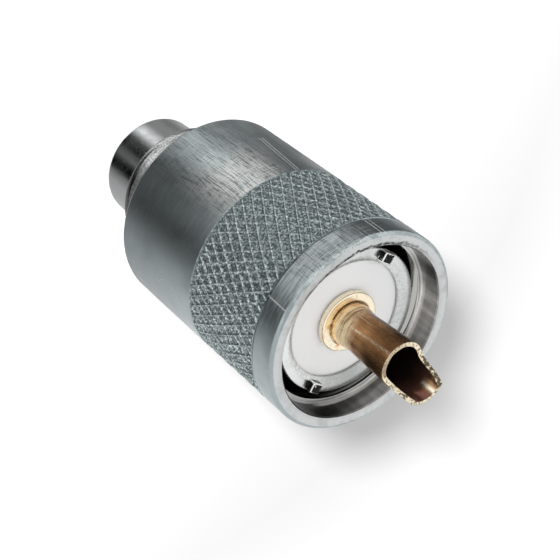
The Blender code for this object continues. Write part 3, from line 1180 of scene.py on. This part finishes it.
class Turning:
    """Collects the walls of one turned piece and welds them into a closed mesh."""

    def __init__(self, finishes: list[Material]) -> None:
        """Starts an empty piece that uses these materials."""
        self.bm: BMesh = bmesh.new()
        self.finishes = finishes

    def turn(self, outline: Outline, columns: int, finish: int) -> list[Loop]:
        """Spins an outline round the axis.

        Args:
            outline: Distances from the axis and heights.
            columns: Faces round the axis.
            finish: Which of the piece's materials the wall takes.

        Returns:
            One loop of points for each point of the outline.
        """
        angles = [math.tau * column / columns for column in range(columns)]
        loops = []
        for radius, height in outline:
            points = [(radius * math.cos(a), radius * math.sin(a), height) for a in angles]
            loops.append([self.bm.verts.new(point) for point in points])
        for lower, upper in zip(loops, loops[1:]):
            for i in range(columns):
                face = self.bm.faces.new((lower[i - 1], lower[i], upper[i], upper[i - 1]))
                face.material_index = finish
        return loops

    def bridge(self, coarse: Loop, fine: Loop, finish: int) -> None:
        """Joins two flat loops.

        Args:
            coarse: The loop with fewer points.
            fine: The other one, with a whole number of times as many.
            finish: Which of the piece's materials the faces take.
        """
        ratio = len(fine) // len(coarse)
        for i in range(len(coarse)):
            run = [fine[(i * ratio + step) % len(fine)] for step in range(ratio + 1)]
            face = self.bm.faces.new((coarse[(i + 1) % len(coarse)], coarse[i], *run))
            face.material_index = finish

    def take(self, mesh: Mesh, finish: int) -> list[BMFace]:
        """Adds a recipe's mesh, which is used up.

        Args:
            mesh: The mesh.
            finish: Which of the piece's materials it takes.

        Returns:
            Its faces.
        """
        before = len(self.bm.faces)
        self.bm.from_mesh(mesh)
        self.bm.faces.ensure_lookup_table()
        faces = self.bm.faces[before:]
        for face in faces:
            face.material_index = finish
        bpy.data.meshes.remove(mesh)
        return faces

    def piece(self, name: str) -> Object:
        """Welds the walls and makes the object."""
        bmesh.ops.remove_doubles(self.bm, verts=self.bm.verts, dist=WELD)
        bmesh.ops.recalc_face_normals(self.bm, faces=self.bm.faces)
        return object_of(name, self.bm, self.finishes)


def combine(obj: Object, tools: list[Object], operation: str) -> None:
    """Joins tools to a piece or cuts them from it, and removes them.

    Args:
        obj: The piece.
        tools: Closed meshes.
        operation: UNION or DIFFERENCE.
    """
    for tool in tools:
        boolean = obj.modifiers.new(tool.name, "BOOLEAN")
        boolean.operation = operation
        boolean.solver = "EXACT"
        boolean.material_mode = "TRANSFER"
        boolean.object = tool
    obj.data = applied(obj)
    for tool in tools:
        bpy.data.objects.remove(tool, do_unlink=True)


def block(
    name: str, low: Vector, high: Vector, bevel: float, finishes: list[Material], cuts: int = 0
) -> Object:
    """Makes a box with rounded edges.

    Args:
        name: Its name.
        low: Its lowest corner.
        high: Its highest corner.
        bevel: The rounding of its edges.
        finishes: The material of its flat sides and, if it differs, that of its rounded edges.
        cuts: How often its sides are divided.

    Returns:
        The box.
    """
    bm = bmesh.new()
    place = Matrix.Translation((low + high) / 2) @ Matrix.Diagonal((*(high - low), 1.0))
    bmesh.ops.create_cube(bm, size=1.0, matrix=place)
    bmesh.ops.bevel(bm, geom=bm.edges[:], offset=bevel, segments=3, profile=0.5, affect="EDGES")
    for face in bm.faces:
        flat = max(abs(axis) for axis in face.normal) > 0.999
        face.material_index = 0 if flat else len(finishes) - 1
    if cuts:
        bmesh.ops.subdivide_edges(bm, edges=bm.edges[:], cuts=cuts, use_grid_fill=True)
    return object_of(name, bm, finishes)


def seat(obj: Object, body: Body, node: str, sharp_angle: float = SHARP_ANGLE) -> None:
    """Shades a finished piece and puts it in its node's place.

    Args:
        obj: The piece.
        body: The body that it moves with.
        node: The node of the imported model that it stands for.
        sharp_angle: The angle, in degrees, past which an edge stays hard.
    """
    obj.data.shade_smooth()
    obj.data.set_sharp_from_angle(angle=math.radians(sharp_angle))
    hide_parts(node)
    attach(obj, body.value)
    LOG.info("%s: %d faces, rides on %s", obj.name, len(obj.data.polygons), body.value)


@dataclass
class CouplingRing:
    """The ring that screws onto the socket: drawn bands, a diamond knurl and the 5/8 inch thread."""

    thread: Recipe
    knurl: Recipe
    ridges: int = 58
    half_rows: int = 11
    cells: int = 10
    row_cells: int = 8
    inner_share: int = 4
    knurl_length: float = 9.04 * MM
    knurl_from_front: float = 2.52 * MM
    ridge_rise: float = 0.03 * MM
    pit_depth: float = 0.15 * MM
    ridge_share: float = 0.15
    knurl_runout: float = 0.12 * MM
    knurl_margin: float = 0.08 * MM
    torn_depth: float = 0.08 * MM
    worn_share: float = 0.35
    worn_direction: float = math.radians(-70.0)
    crest_over_band: float = 0.06 * MM
    groove_width: float = 0.18 * MM
    groove_depth: float = 0.12 * MM
    rim_rounding: float = 0.32 * MM
    thread_crest: float = 7.4 * MM
    thread_depth: float = 0.5 * MM
    thread_pitch: float = 25.4 * MM / 24
    thread_runout: float = 0.35 * MM
    mouth_radius: float = 7.8 * MM
    mouth_depth: float = 2.05 * MM
    mouth_taper: float = 0.12 * MM
    # How far below the mouth's floor the painted shade begins and where it is full.
    shade_fade: float = 1.0 * MM
    shade_depth: float = 1.5 * MM
    lip_radius: float = 5.95 * MM
    lip_thickness: float = 3.0 * MM
    lip_thread_depth: float = 0.3 * MM
    lip_thread_pitch: float = 0.8 * MM
    lip_thread_runout: float = 0.2 * MM
    edge_break: float = 0.1 * MM
    finishes: list[Material] = field(default_factory=list)

    def __post_init__(self) -> None:
        """Reads the ring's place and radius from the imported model."""
        low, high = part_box("coupling_ring")
        self.rear = low.z
        self.front = high.z
        self.radius = high.x - self.crest_over_band
        self.columns = self.ridges * self.cells
        self.inner_columns = self.columns // self.inner_share
        self.knurl_front = self.front - self.knurl_from_front
        self.knurl_rear = self.knurl_front - self.knurl_length
        self.mouth_floor = self.front - self.mouth_depth

    def dress(self) -> None:
        """Makes the ring's finishes: drawn bands, knurl, faced ends and mouth."""
        knurled = KnurledNickel(
            "knurled_nickel", self.radius + self.ridge_rise, self.radius - self.pit_depth,
            self.knurl_rear, self.knurl_front,
        )
        mouth = MouthNickel(
            "mouth_nickel", self.mouth_floor, self.mouth_taper,
            self.mouth_floor - self.shade_fade, self.mouth_floor - self.shade_depth,
        )
        finishes = (DrawnNickel("drawn_nickel"), knurled, FacedNickel("faced_nickel"), mouth)
        self.finishes = [finish.material() for finish in finishes]

    def knurled_band(self, turning: Turning) -> None:
        """Adds the knurl and folds its grid along the ridges.

        Args:
            turning: The ring's walls.
        """
        values = {
            "Ridges": self.ridges,
            "Half Rows": self.half_rows,
            "Columns": self.columns,
            "Rows": self.half_rows * self.row_cells,
            "Radius": self.radius,
            "Rear Height": self.knurl_rear,
            "Length": self.knurl_length,
            "Ridge Rise": self.ridge_rise,
            "Pit Depth": self.pit_depth,
            "Ridge Share": self.ridge_share,
            "Runout": self.knurl_runout,
            "Torn Depth": self.torn_depth,
            "Worn Share": self.worn_share,
            "Worn Direction": self.worn_direction,
            "Finish": self.finishes[1],
        }
        for face in turning.take(self.knurl.mesh(values), 1):
            self.fold(face)

    def fold(self, face: BMFace) -> None:
        """Splits a face of the knurl along the family of ridges that is nearer to it.

        Args:
            face: The face, which is left whole unless it has four corners.
        """
        if len(face.verts) != QUAD:
            return
        middle = face.calc_center_median()
        turn = math.atan2(middle.y, middle.x) / math.tau * self.ridges
        steps = (middle.z - self.knurl_rear) / self.knurl_length * self.half_rows / 2
        off_falling, off_rising = (abs((phase + 0.5) % 1.0 - 0.5) for phase in (turn + steps, turn - steps))
        lower_edge = sorted(face.verts, key=lambda vert: vert.co.z)[:2]
        pick = max if off_rising > off_falling else min
        corner = pick(lower_edge, key=lambda vert: middle.x * vert.co.y - middle.y * vert.co.x)
        verts = list(face.verts)
        opposite = verts[(verts.index(corner) + QUAD // 2) % QUAD]
        bmesh.utils.face_split(face, corner, opposite)

    def inside(self, turning: Turning) -> tuple[Loop, Loop]:
        """Adds the mouth, the coupling thread and the lip that keeps the ring on the body.

        Args:
            turning: The ring's walls.

        Returns:
            The inner edges of the ring's front and rear faces.
        """
        broken = self.edge_break
        thread_front = self.mouth_floor - self.mouth_taper
        lip_front = self.rear + self.lip_thickness
        columns, finish = self.inner_columns, self.finishes[3]
        mouth = [
            (self.mouth_radius + broken, self.front),
            (self.mouth_radius, self.front - broken),
            (self.mouth_radius, self.mouth_floor),
            (self.thread_crest, thread_front),
        ]
        front_edge = turning.turn(mouth, columns, 3)[0]
        coupling_thread = Thread(
            Sense.INTERNAL, self.thread_crest, self.thread_depth, self.thread_pitch,
            lip_front, thread_front, self.thread_runout,
        )
        turning.take(coupling_thread.mesh(self.thread, columns, finish), 3)
        shelf = [
            (self.thread_crest, lip_front),
            (self.lip_radius + broken, lip_front),
            (self.lip_radius, lip_front - broken),
        ]
        turning.turn(shelf, columns, 3)
        lip_thread = Thread(
            Sense.INTERNAL, self.lip_radius, self.lip_thread_depth, self.lip_thread_pitch,
            self.rear + broken, lip_front - broken, self.lip_thread_runout,
        )
        turning.take(lip_thread.mesh(self.thread, columns, finish), 3)
        lip_rear = [(self.lip_radius, self.rear + broken), (self.lip_radius + broken, self.rear)]
        return front_edge, turning.turn(lip_rear, columns, 2)[-1]

    def build(self) -> None:
        """Builds the ring."""
        self.dress()
        turning = Turning(self.finishes)
        rounding = self.rim_rounding
        rear_outline = [
            *arc((self.radius - rounding, self.rear + rounding), rounding, -90.0, 0.0),
            (self.radius, self.knurl_rear - self.knurl_margin),
            (self.radius, self.knurl_rear),
        ]
        front_outline = [
            (self.radius, self.knurl_front),
            (self.radius - self.groove_depth, self.knurl_front + self.groove_width * 0.3),
            (self.radius - self.groove_depth, self.knurl_front + self.groove_width * 0.8),
            (self.radius, self.knurl_front + self.groove_width),
            *arc((self.radius - rounding, self.front - rounding), rounding, 0.0, 90.0),
        ]
        outer_rear = turning.turn(rear_outline, self.columns, 0)[0]
        self.knurled_band(turning)
        outer_front = turning.turn(front_outline, self.columns, 0)[-1]
        inner_front, inner_rear = self.inside(turning)
        turning.bridge(inner_front, outer_front, 2)
        turning.bridge(inner_rear, outer_rear, 2)
        seat(turning.piece("knurled_coupling_ring"), Body.COUPLING, "coupling_ring")


@dataclass
class PlugBody:
    """The turned body: tail, threaded collar, waist with solder holes, sleeve and toothed face."""

    thread: Recipe
    columns: int = 240
    tail_radius: float = 4.95 * MM
    tail_length: float = 5.3 * MM
    tail_rounding: float = 0.5 * MM
    tail_fillet: float = 0.5 * MM
    cable_bore_radius: float = 3.75 * MM
    bore_break: float = 0.3 * MM
    collar_radius: float = 6.35 * MM
    collar_length: float = 4.5 * MM
    collar_chamfer: float = 0.35 * MM
    collar_land: float = 1.0 * MM
    collar_thread_depth: float = 0.3 * MM
    collar_thread_pitch: float = 0.8 * MM
    collar_thread_runout: float = 0.15 * MM
    collar_thread_rows: int = 8
    waist_radius: float = 5.6 * MM
    waist_wall: float = 0.75 * MM
    sleeve_radius: float = 6.6 * MM
    sleeve_rear: float = 21.1 * MM
    sleeve_break: float = 0.3 * MM
    seat_web: float = 1.4 * MM
    seat_radius: float = 5.65 * MM
    crimp_radius: float = 5.35 * MM
    crimp_width: float = 0.65 * MM
    crimp_drop: float = 0.28 * MM
    crimp_thickness: float = 0.35 * MM
    crimp_press: float = 0.14 * MM
    face_break: float = 0.1 * MM
    hole_radius: float = 1.3 * MM
    hole_count: int = 4
    hole_sides: int = 40
    tooth_count: int = 2
    tooth_width: float = 1.1 * MM
    tooth_height: float = 0.55 * MM
    tooth_length: float = 0.95 * MM
    tooth_setback: float = 0.05 * MM
    tooth_root: float = 0.3 * MM
    tooth_rounding: float = 0.1 * MM
    # The collar's brightness round the turn: painted light and shade, bright where the highlight falls.
    collar_painted_light: Tones = (
        (-180.0, 0.30), (-70.0, 0.34), (-50.0, 0.80), (-18.0, 1.0), (-8.0, 0.45), (4.0, 0.18), (180.0, 0.30),
    )

    def __post_init__(self) -> None:
        """Reads the body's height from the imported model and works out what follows."""
        _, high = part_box("plug_body")
        self.tooth_top = high.z
        self.face = high.z - self.tooth_height
        self.collar_top = self.tail_length + self.collar_length
        self.waist_bore = self.waist_radius - self.waist_wall
        self.bore_step = self.collar_top + self.waist_bore - self.cable_bore_radius

    def teeth(self, finishes: list[Material]) -> list[Object]:
        """Makes the keying teeth.

        Args:
            finishes: The materials of their flat sides and of their rounded edges.

        Returns:
            The teeth, rooted in the body's face.
        """
        made = []
        outside = self.sleeve_radius - self.tooth_setback
        low = Vector((outside - self.tooth_length, -self.tooth_width / 2, self.face - self.tooth_root))
        high = Vector((outside, self.tooth_width / 2, self.tooth_top))
        for index in range(self.tooth_count):
            tooth = block(f"keying_tooth_{index + 1}", low, high, self.tooth_rounding, finishes)
            tooth.data.transform(Matrix.Rotation(math.tau * (index / self.tooth_count + 0.25), 4, "Z"))
            made.append(tooth)
        return made

    def drills(self, finish: Material) -> list[Object]:
        """Makes the drills of the solder holes in the waist.

        Args:
            finish: The material that the holes' walls take.

        Returns:
            The drills.
        """
        made = []
        middle = ((self.waist_radius + self.waist_bore) / 2, 0.0, (self.bore_step + self.sleeve_rear) / 2)
        sideways = Matrix.Translation(middle) @ Matrix.Rotation(math.pi / 2, 4, "Y")
        for index in range(self.hole_count):
            turn = Matrix.Rotation(math.tau * (index + 0.5) / self.hole_count, 4, "Z")
            bm = bmesh.new()
            bmesh.ops.create_cone(
                bm,
                cap_ends=True,
                segments=self.hole_sides,
                radius1=self.hole_radius,
                radius2=self.hole_radius,
                depth=4 * self.waist_wall,
                matrix=turn @ sideways,
            )
            made.append(object_of(f"solder_hole_drill_{index + 1}", bm, [finish]))
        return made

    def outside(self, turning: Turning, thread_finish: Material) -> None:
        """Adds the tail, the threaded collar, the waist and the sleeve.

        Args:
            turning: The body's walls.
            thread_finish: The material of the collar's thread.
        """
        collar = self.collar_radius
        rounded, fillet = self.tail_rounding, self.tail_fillet
        low_thread = self.tail_length + self.collar_land
        tail = [
            (self.cable_bore_radius + self.bore_break, 0.0),
            *arc((self.tail_radius - rounded, rounded), rounded, -90.0, 0.0, 8),
            *arc((self.tail_radius + fillet, self.tail_length - fillet), fillet, 180.0, 90.0, 8),
        ]
        turning.turn(tail, self.columns, 0)
        collar_rear = [
            tail[-1],
            (collar - self.collar_chamfer, self.tail_length),
            (collar, self.tail_length + self.collar_chamfer * 1.7),
            (collar, low_thread),
        ]
        turning.turn(collar_rear, self.columns, 2)
        collar_thread = Thread(
            Sense.EXTERNAL, collar, self.collar_thread_depth, self.collar_thread_pitch,
            low_thread, self.collar_top, self.collar_thread_runout, self.collar_thread_rows,
        )
        turning.take(collar_thread.mesh(self.thread, self.columns, thread_finish), 2)
        shank = [
            (collar, self.collar_top),
            (self.waist_radius, self.collar_top),
            (self.waist_radius, self.sleeve_rear),
            (self.sleeve_radius - self.sleeve_break, self.sleeve_rear),
            (self.sleeve_radius, self.sleeve_rear + self.sleeve_break),
            (self.sleeve_radius, self.face - self.face_break),
        ]
        turning.turn(shank, self.columns, 0)

    def inside(self, turning: Turning) -> None:
        """Adds the face, the rim that is rolled over the insulator, and the bore behind it.

        Args:
            turning: The body's walls.
        """
        crimp, broken = self.crimp_radius, self.face_break
        under = self.face - self.crimp_thickness
        seat_height = self.sleeve_rear + self.seat_web
        rim = [
            *arc((self.sleeve_radius - broken, self.face - broken), broken, 0.0, 90.0, 4),
            (crimp + self.crimp_width, self.face),
            (crimp + self.crimp_width * 0.55, self.face - self.crimp_drop * 0.3),
            (crimp, self.face - self.crimp_drop),
            (crimp, under - self.crimp_press),
        ]
        turning.turn(rim, self.columns, 1)
        bore = [
            rim[-1],
            ((crimp + self.seat_radius) / 2, under),
            (self.seat_radius, under),
            (self.seat_radius, seat_height),
            (self.waist_bore, seat_height),
            (self.waist_bore, self.bore_step),
            (self.cable_bore_radius, self.collar_top),
            (self.cable_bore_radius, self.bore_break),
            (self.cable_bore_radius + self.bore_break, 0.0),
        ]
        turning.turn(bore, self.columns, 0)

    def build(self) -> None:
        """Builds the body."""
        bright = BrightNickel("tail_nickel", (0.47, 0.49, 0.49), (0.32, 0.32, 0.31)).material()
        faced = FlangeNickel("flange_nickel").material()
        raw = RawNickel(
            "collar_nickel", (0.44, 0.46, 0.45), 6500.0, depth=0.02 * MM, tones=self.collar_painted_light
        ).material()
        # Painted shade: the teeth's flat sides are near black with few bright specks; their rounded edges are
        # bright nickel.
        tarnished = RawNickel(
            "tooth_painted_shade", (0.012, 0.012, 0.012), 3000.0, bright_from=0.60, bright_until=0.66
        ).material()
        edges = BrightNickel("tooth_edges", (0.92, 0.93, 0.91), ripple=0.004 * MM).material()
        turning = Turning([bright, faced, raw])
        self.outside(turning, raw)
        self.inside(turning)
        body = turning.piece("turned_plug_body")
        combine(body, self.drills(bright), "DIFFERENCE")
        combine(body, self.teeth([tarnished, edges]), "UNION")
        seat(body, Body.PLUG, "plug_body")


@dataclass
class Insulator:
    """The white disc and sleeve that carries the pin."""

    columns: int = 200
    edge_rounding: float = 0.2 * MM
    wall_gap: float = 0.2 * MM
    shank_radius: float = 1.85 * MM

    def build(self) -> None:
        """Builds the insulator."""
        low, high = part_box("insulator")
        bore = self.shank_radius + self.wall_gap
        rear, front = self.edge_rounding, self.edge_rounding / 2
        turning = Turning([WaxyPlastic("white_fluoropolymer").material()])
        outline = [
            (bore, low.z),
            *arc((high.x - rear, low.z + rear), rear, -90.0, 0.0, 4),
            *arc((high.x - front, high.z - front), front, 0.0, 90.0, 4),
            (bore, high.z),
            (bore, low.z),
        ]
        turning.turn(outline, self.columns, 0)
        seat(turning.piece("white_insulator_sleeve"), Body.PLUG, "insulator")


@dataclass
class SolderPin:
    """The hollow centre contact: flange, neck and flared barrel with a milled open tip."""

    columns: int = 160
    tip_radius: float = 1.97 * MM
    root_radius: float = 1.72 * MM
    bore_radius: float = 1.43 * MM
    tip_bore_radius: float = 1.66 * MM
    neck_radius: float = 1.88 * MM
    neck_length: float = 1.2 * MM
    groove_width: float = 0.12 * MM
    groove_slope: float = 0.04 * MM
    groove_depth: float = 0.08 * MM
    shank_radius: float = 1.85 * MM
    shank_tail: float = 2.2 * MM
    flange_radius: float = 2.7 * MM
    flange_thickness: float = 0.55 * MM
    flange_rounding: float = 0.16 * MM
    flange_break: float = 0.05 * MM
    stake_radius: float = 2.5 * MM
    stake_thickness: float = 0.4 * MM
    seat_gap: float = 0.2 * MM
    edge_rounding: float = 0.06 * MM
    scoop_length: float = 2.8 * MM
    scoop_rear_depth: float = 0.33 * MM
    scoop_tip_depth: float = 1.25 * MM
    scoop_rounding: float = 0.4 * MM
    scoop_angle: float = -41.0
    scoop_cuts: int = 11
    scoop_tear: float = 0.035 * MM
    tear_length: float = 0.9 * MM
    sharp_angle: float = 34.0

    def __post_init__(self) -> None:
        """Reads the pin's height and the insulator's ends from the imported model."""
        self.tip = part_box("centre_contact")[1].z
        low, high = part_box("insulator")
        self.flange_rear = high.z + self.seat_gap
        self.stake_front = low.z - self.seat_gap

    def outline(self) -> tuple[Outline, Outline]:
        """Finds the pin's section.

        Returns:
            The outer section, from the rear to the tip, and the bore's section back.
        """
        flange_front = self.flange_rear + self.flange_thickness
        stake_rear = self.stake_front - self.stake_thickness
        rear = stake_rear - self.shank_tail
        rounding, broken, tip_edge = self.flange_rounding, self.flange_break, self.edge_rounding
        neck, root, length = self.neck_radius, self.root_radius, self.neck_length
        outer = [
            (self.shank_radius, rear),
            (self.shank_radius, stake_rear),
            (self.stake_radius, stake_rear),
            (self.stake_radius, self.stake_front),
            (self.shank_radius, self.stake_front),
            (self.shank_radius, self.flange_rear),
            *arc((self.flange_radius - broken, self.flange_rear + broken), broken, -90.0, 0.0, 3),
            *arc((self.flange_radius - rounding, flange_front - rounding), rounding, 0.0, 90.0, 5),
            (neck + self.groove_width + self.groove_slope, flange_front),
            (neck + self.groove_width, flange_front - self.groove_depth),
            (neck, flange_front - self.groove_depth),
            (neck, flange_front + length * 0.5),
            (neck - 0.03 * MM, flange_front + length * 0.7),
            (root + 0.03 * MM, flange_front + length * 1.1),
            (root + 0.02 * MM, flange_front + length * 1.4),
            (self.tip_radius, self.tip - self.scoop_length),
            *arc((self.tip_radius - tip_edge, self.tip - tip_edge), tip_edge, 0.0, 90.0, 4),
        ]
        inner = [
            (self.tip_radius - tip_edge, self.tip),
            (self.tip_bore_radius, self.tip),
            (self.bore_radius, flange_front + length),
            (self.bore_radius, rear),
        ]
        return outer, inner

    def scoop(self, finish: Material) -> Object:
        """Makes the block that mills the tip down to an open trough.

        Args:
            finish: The material of the milled faces.

        Returns:
            The block, its faces slightly uneven.
        """
        margin = self.tip_radius
        rear = self.tip - self.scoop_length
        slope = (self.scoop_tip_depth - self.scoop_rear_depth) / self.scoop_length
        low = Vector((-self.scoop_rear_depth, -2 * margin, rear))
        high = Vector((2 * margin, 2 * margin, self.tip + 2 * margin))
        tool = block("scoop_cutter", low, high, self.scoop_rounding, [finish], self.scoop_cuts)
        for vert in tool.data.vertices:
            x, y, z = (axis / self.tear_length for axis in vert.co)
            long_wave = math.sin(5.1 * y + 2.3 * z) * math.sin(3.7 * z + 1.1 * x)
            short_wave = 0.6 * math.sin(9.7 * y - 7.9 * z)
            vert.co += vert.normal * (long_wave + short_wave) * self.scoop_tear / 1.6
            vert.co.x -= slope * (vert.co.z - rear)
        tool.data.transform(Matrix.Rotation(math.radians(self.scoop_angle), 4, "Z"))
        return tool

    def build(self) -> None:
        """Builds the pin."""
        finishes = (TarnishedBrass("tarnished_brass_plate"), CutBrass("cut_brass"), DarkDeepBore("dark_deep_bore"))
        brass, cut, deep_bore = (finish.material() for finish in finishes)
        turning = Turning([brass, cut, deep_bore])
        outer, inner = self.outline()
        turning.turn([(self.bore_radius, outer[0][1]), *outer], self.columns, 0)
        turning.turn(inner[:2], self.columns, 1)
        turning.turn(inner[1:], self.columns, 2)
        pin = turning.piece("hollow_solder_pin")
        combine(pin, [self.scoop(cut)], "DIFFERENCE")
        seat(pin, Body.PLUG, "centre_contact", self.sharp_angle)


@dataclass(frozen=True)
class CardBowl:
    """A wide bowl of dark and bright cards below the plug, which only the metal mirrors."""

    radius: float = 3.0
    tail_cards: Tones = (
        (-180.0, 0.60), (-155.0, 0.50), (-135.0, 0.30), (-111.0, 0.42), (-88.0, 0.38), (-76.0, 1.0),
        (-63.0, 1.75), (-52.0, 0.70), (-41.0, 0.06), (-15.0, 0.0), (0.0, 0.16), (9.0, 0.24), (20.0, 0.06),
        (30.0, 0.0), (44.0, 0.0), (57.0, 0.34), (81.0, 0.59), (110.0, 0.61), (180.0, 0.60),
    )
    low_cards: Tones = (
        (-180.0, 0.50), (-150.0, 0.16), (-125.0, 0.18), (-108.0, 0.36), (-88.0, 0.66), (-74.0, 1.0),
        (-63.0, 1.4), (-50.0, 1.0), (-38.0, 0.24), (-15.0, 0.08), (2.0, 0.28), (13.0, 0.20), (24.0, 0.0),
        (42.0, 0.0), (52.0, 0.28), (62.0, 0.46), (81.0, 0.62), (110.0, 0.72), (150.0, 0.80), (180.0, 0.50),
    )
    high_cards: Tones = (
        (-180.0, 0.90), (-156.0, 0.66), (-132.0, 0.08), (-102.0, 0.0), (-88.0, 0.60), (-63.0, 0.97),
        (-39.0, 0.50), (-22.0, 1.0), (-8.0, 1.0), (4.0, 0.32), (14.0, 0.12), (21.0, 0.0), (40.0, 0.0),
        (48.0, 0.36), (57.0, 0.97), (81.0, 1.05), (110.0, 1.05), (135.0, 1.15), (180.0, 0.90),
    )
    tail_to_ring: tuple[float, float] = (-0.768, -0.754)
    low_to_high: tuple[float, float] = (-0.735, -0.685)
    cards_to_white: tuple[float, float] = (-0.35, -0.05)

    def material(self) -> Material:
        """Makes the cards' glow: three rows of cards, fading to plain white at the bowl's rim.

        Returns:
            The material.
        """
        material, graph = blank_material("card_glow")
        _, _, azimuth, height = graph.polar()
        level = height / self.radius
        lowest, low, high = (
            graph.tones(azimuth, row) for row in (self.tail_cards, self.low_cards, self.high_cards)
        )
        upper = graph.mix(level.spread(*self.low_to_high), low, high)
        rows = graph.mix(level.spread(*self.tail_to_ring), lowest, upper)
        faded = graph.mix(level.spread(*self.cards_to_white), rows, WHITE)
        glow = graph.add("ShaderNodeEmission", Color=faded, Strength=1.0)
        graph.node("ShaderNodeOutputMaterial", Surface=glow)
        return material

    def build(self) -> None:
        """Makes the bowl."""
        turning = Turning([self.material()])
        turning.turn(arc((0.0, 0.0), self.radius, -89.9, 0.0, 40), 120, 0)
        bowl = turning.piece("card_bowl")
        bowl.visible_camera = False
        bowl.visible_diffuse = False
        bowl.visible_transmission = False
        bowl.visible_shadow = False


@dataclass(frozen=True)
class Surroundings:
    """The world: white to the camera, to metal and to what is seen through, and plain light to the rest."""

    plain_light: float = 1.0

    def build(self) -> None:
        """Builds the world."""
        world = bpy.data.worlds.new("studio")
        world.use_nodes = True
        bpy.context.scene.world = world
        graph = Graph(world.node_tree)
        glossy, through, camera = (
            graph.add("ShaderNodeLightPath", ray)
            for ray in ("Is Glossy Ray", "Is Transmission Ray", "Is Camera Ray")
        )
        seen = camera.at_least(glossy.at_least(through))
        colour = graph.mix(seen, (self.plain_light,) * 3, WHITE)
        glow = graph.add("ShaderNodeBackground", Color=colour, Strength=1.0)
        graph.node("ShaderNodeOutputWorld", Surface=glow)


@dataclass(frozen=True)
class Camera:
    """The photograph's viewpoint, fitted to the outlines of the ring and the tail."""

    place: Triple = (0.08194, -0.02194, 0.09960)
    right: Triple = (-0.67376, -0.46515, 0.57418)
    up: Triple = (0.19984, -0.86275, -0.46445)
    lens: float = 87.34
    sensor: float = 36.0
    nearest: float = 0.01

    def build(self) -> Object:
        """Puts the camera in its place.

        Returns:
            The camera.
        """
        data = bpy.data.cameras.new("photo_camera")
        data.lens = self.lens
        data.sensor_width = self.sensor
        data.clip_start = self.nearest
        camera = in_scene("photo_camera", data)
        right = Vector(self.right).normalized()
        back = right.cross(Vector(self.up)).normalized()
        turn = Matrix((right, back.cross(right), back)).transposed().to_4x4()
        camera.matrix_world = Matrix.Translation(self.place) @ turn
        bpy.context.scene.camera = camera
        return camera


@dataclass(frozen=True)
class Studio:
    """The pale floor with its shadow, the lamp, the surroundings and the camera."""

    floor_size: float = 4.0
    floor_gap: float = 0.02 * MM
    floor_colour: float = 0.5
    glow_from: float = 55.0 * MM
    glow_until: float = 130.0 * MM
    glow: float = 0.8
    lamp_distance: float = 150.0 * MM
    lamp_offset: tuple[float, float] = (-12.0 * MM, 12.0 * MM)
    lamp_size: float = 17.0 * MM
    lamp_power: float = 0.75
    aim: Triple = (0.0, 0.0, 32.0 * MM)
    camera: Camera = Camera()

    def floor(self) -> Object:
        """Makes the floor, which is white but for the plug's shadow.

        Returns:
            The floor.
        """
        half = self.floor_size / 2
        corners = [(-half, -half, 0.0), (half, -half, 0.0), (half, half, 0.0), (-half, half, 0.0)]
        mesh = bpy.data.meshes.new("studio_floor")
        mesh.from_pydata(corners, [], [(0, 1, 2, 3)])
        material, graph = blank_material("studio_floor")
        _, radius, _, _ = graph.polar()
        strength = radius.spread(self.glow_from, self.glow_until, 0.0, self.glow)
        both = graph.node("ShaderNodeAddShader")
        graph.feed(both.inputs[0], graph.add("ShaderNodeBsdfDiffuse", Color=(self.floor_colour,) * 3))
        graph.feed(both.inputs[1], graph.add("ShaderNodeEmission", Color=WHITE, Strength=strength))
        graph.node("ShaderNodeOutputMaterial", Surface=Signal(graph, both.outputs[0]))
        mesh.materials.append(material)
        floor = in_scene("studio_floor", mesh)
        floor.location.z = -self.floor_gap
        floor.visible_glossy = False
        return floor

    def shadow_lamp(self, camera: Object, floor: Object) -> None:
        """Puts a lamp beside the camera that lights only the floor, so that the plug's shadow shows.

        Args:
            camera: The camera.
            floor: The floor.
        """
        data = bpy.data.lights.new("shadow_lamp", "AREA")
        data.shape = "DISK"
        data.size = self.lamp_size
        data.energy = self.lamp_power
        lamp = in_scene("shadow_lamp", data)
        aim = Vector(self.aim)
        towards = (Vector(self.camera.place) - aim).normalized()
        sideways = camera.matrix_world.to_3x3() @ Vector((*self.lamp_offset, 0.0))
        lamp.location = aim + towards * self.lamp_distance + sideways
        lamp.rotation_mode = "QUATERNION"
        lamp.rotation_quaternion = (lamp.location - aim).to_track_quat("Z", "Y")
        only_floor = bpy.data.collections.new("lit_by_shadow_lamp")
        only_floor.objects.link(floor)
        lamp.light_linking.receiver_collection = only_floor

    def build(self) -> None:
        """Sets up everything that isn't part of the plug."""
        bpy.context.scene.view_settings.view_transform = "Standard"
        floor = self.floor()
        camera = self.camera.build()
        Surroundings().build()
        CardBowl().build()
        self.shadow_lamp(camera, floor)


def main() -> None:
    """Builds the plug's pieces and the studio."""
    logging.basicConfig(level=logging.INFO, format="%(name)s: %(message)s")
    thread = thread_recipe()
    CouplingRing(thread, knurl_recipe()).build()
    PlugBody(thread).build()
    Insulator().build()
    SolderPin().build()
    Studio().build()


if __name__ == "__main__":
    main()
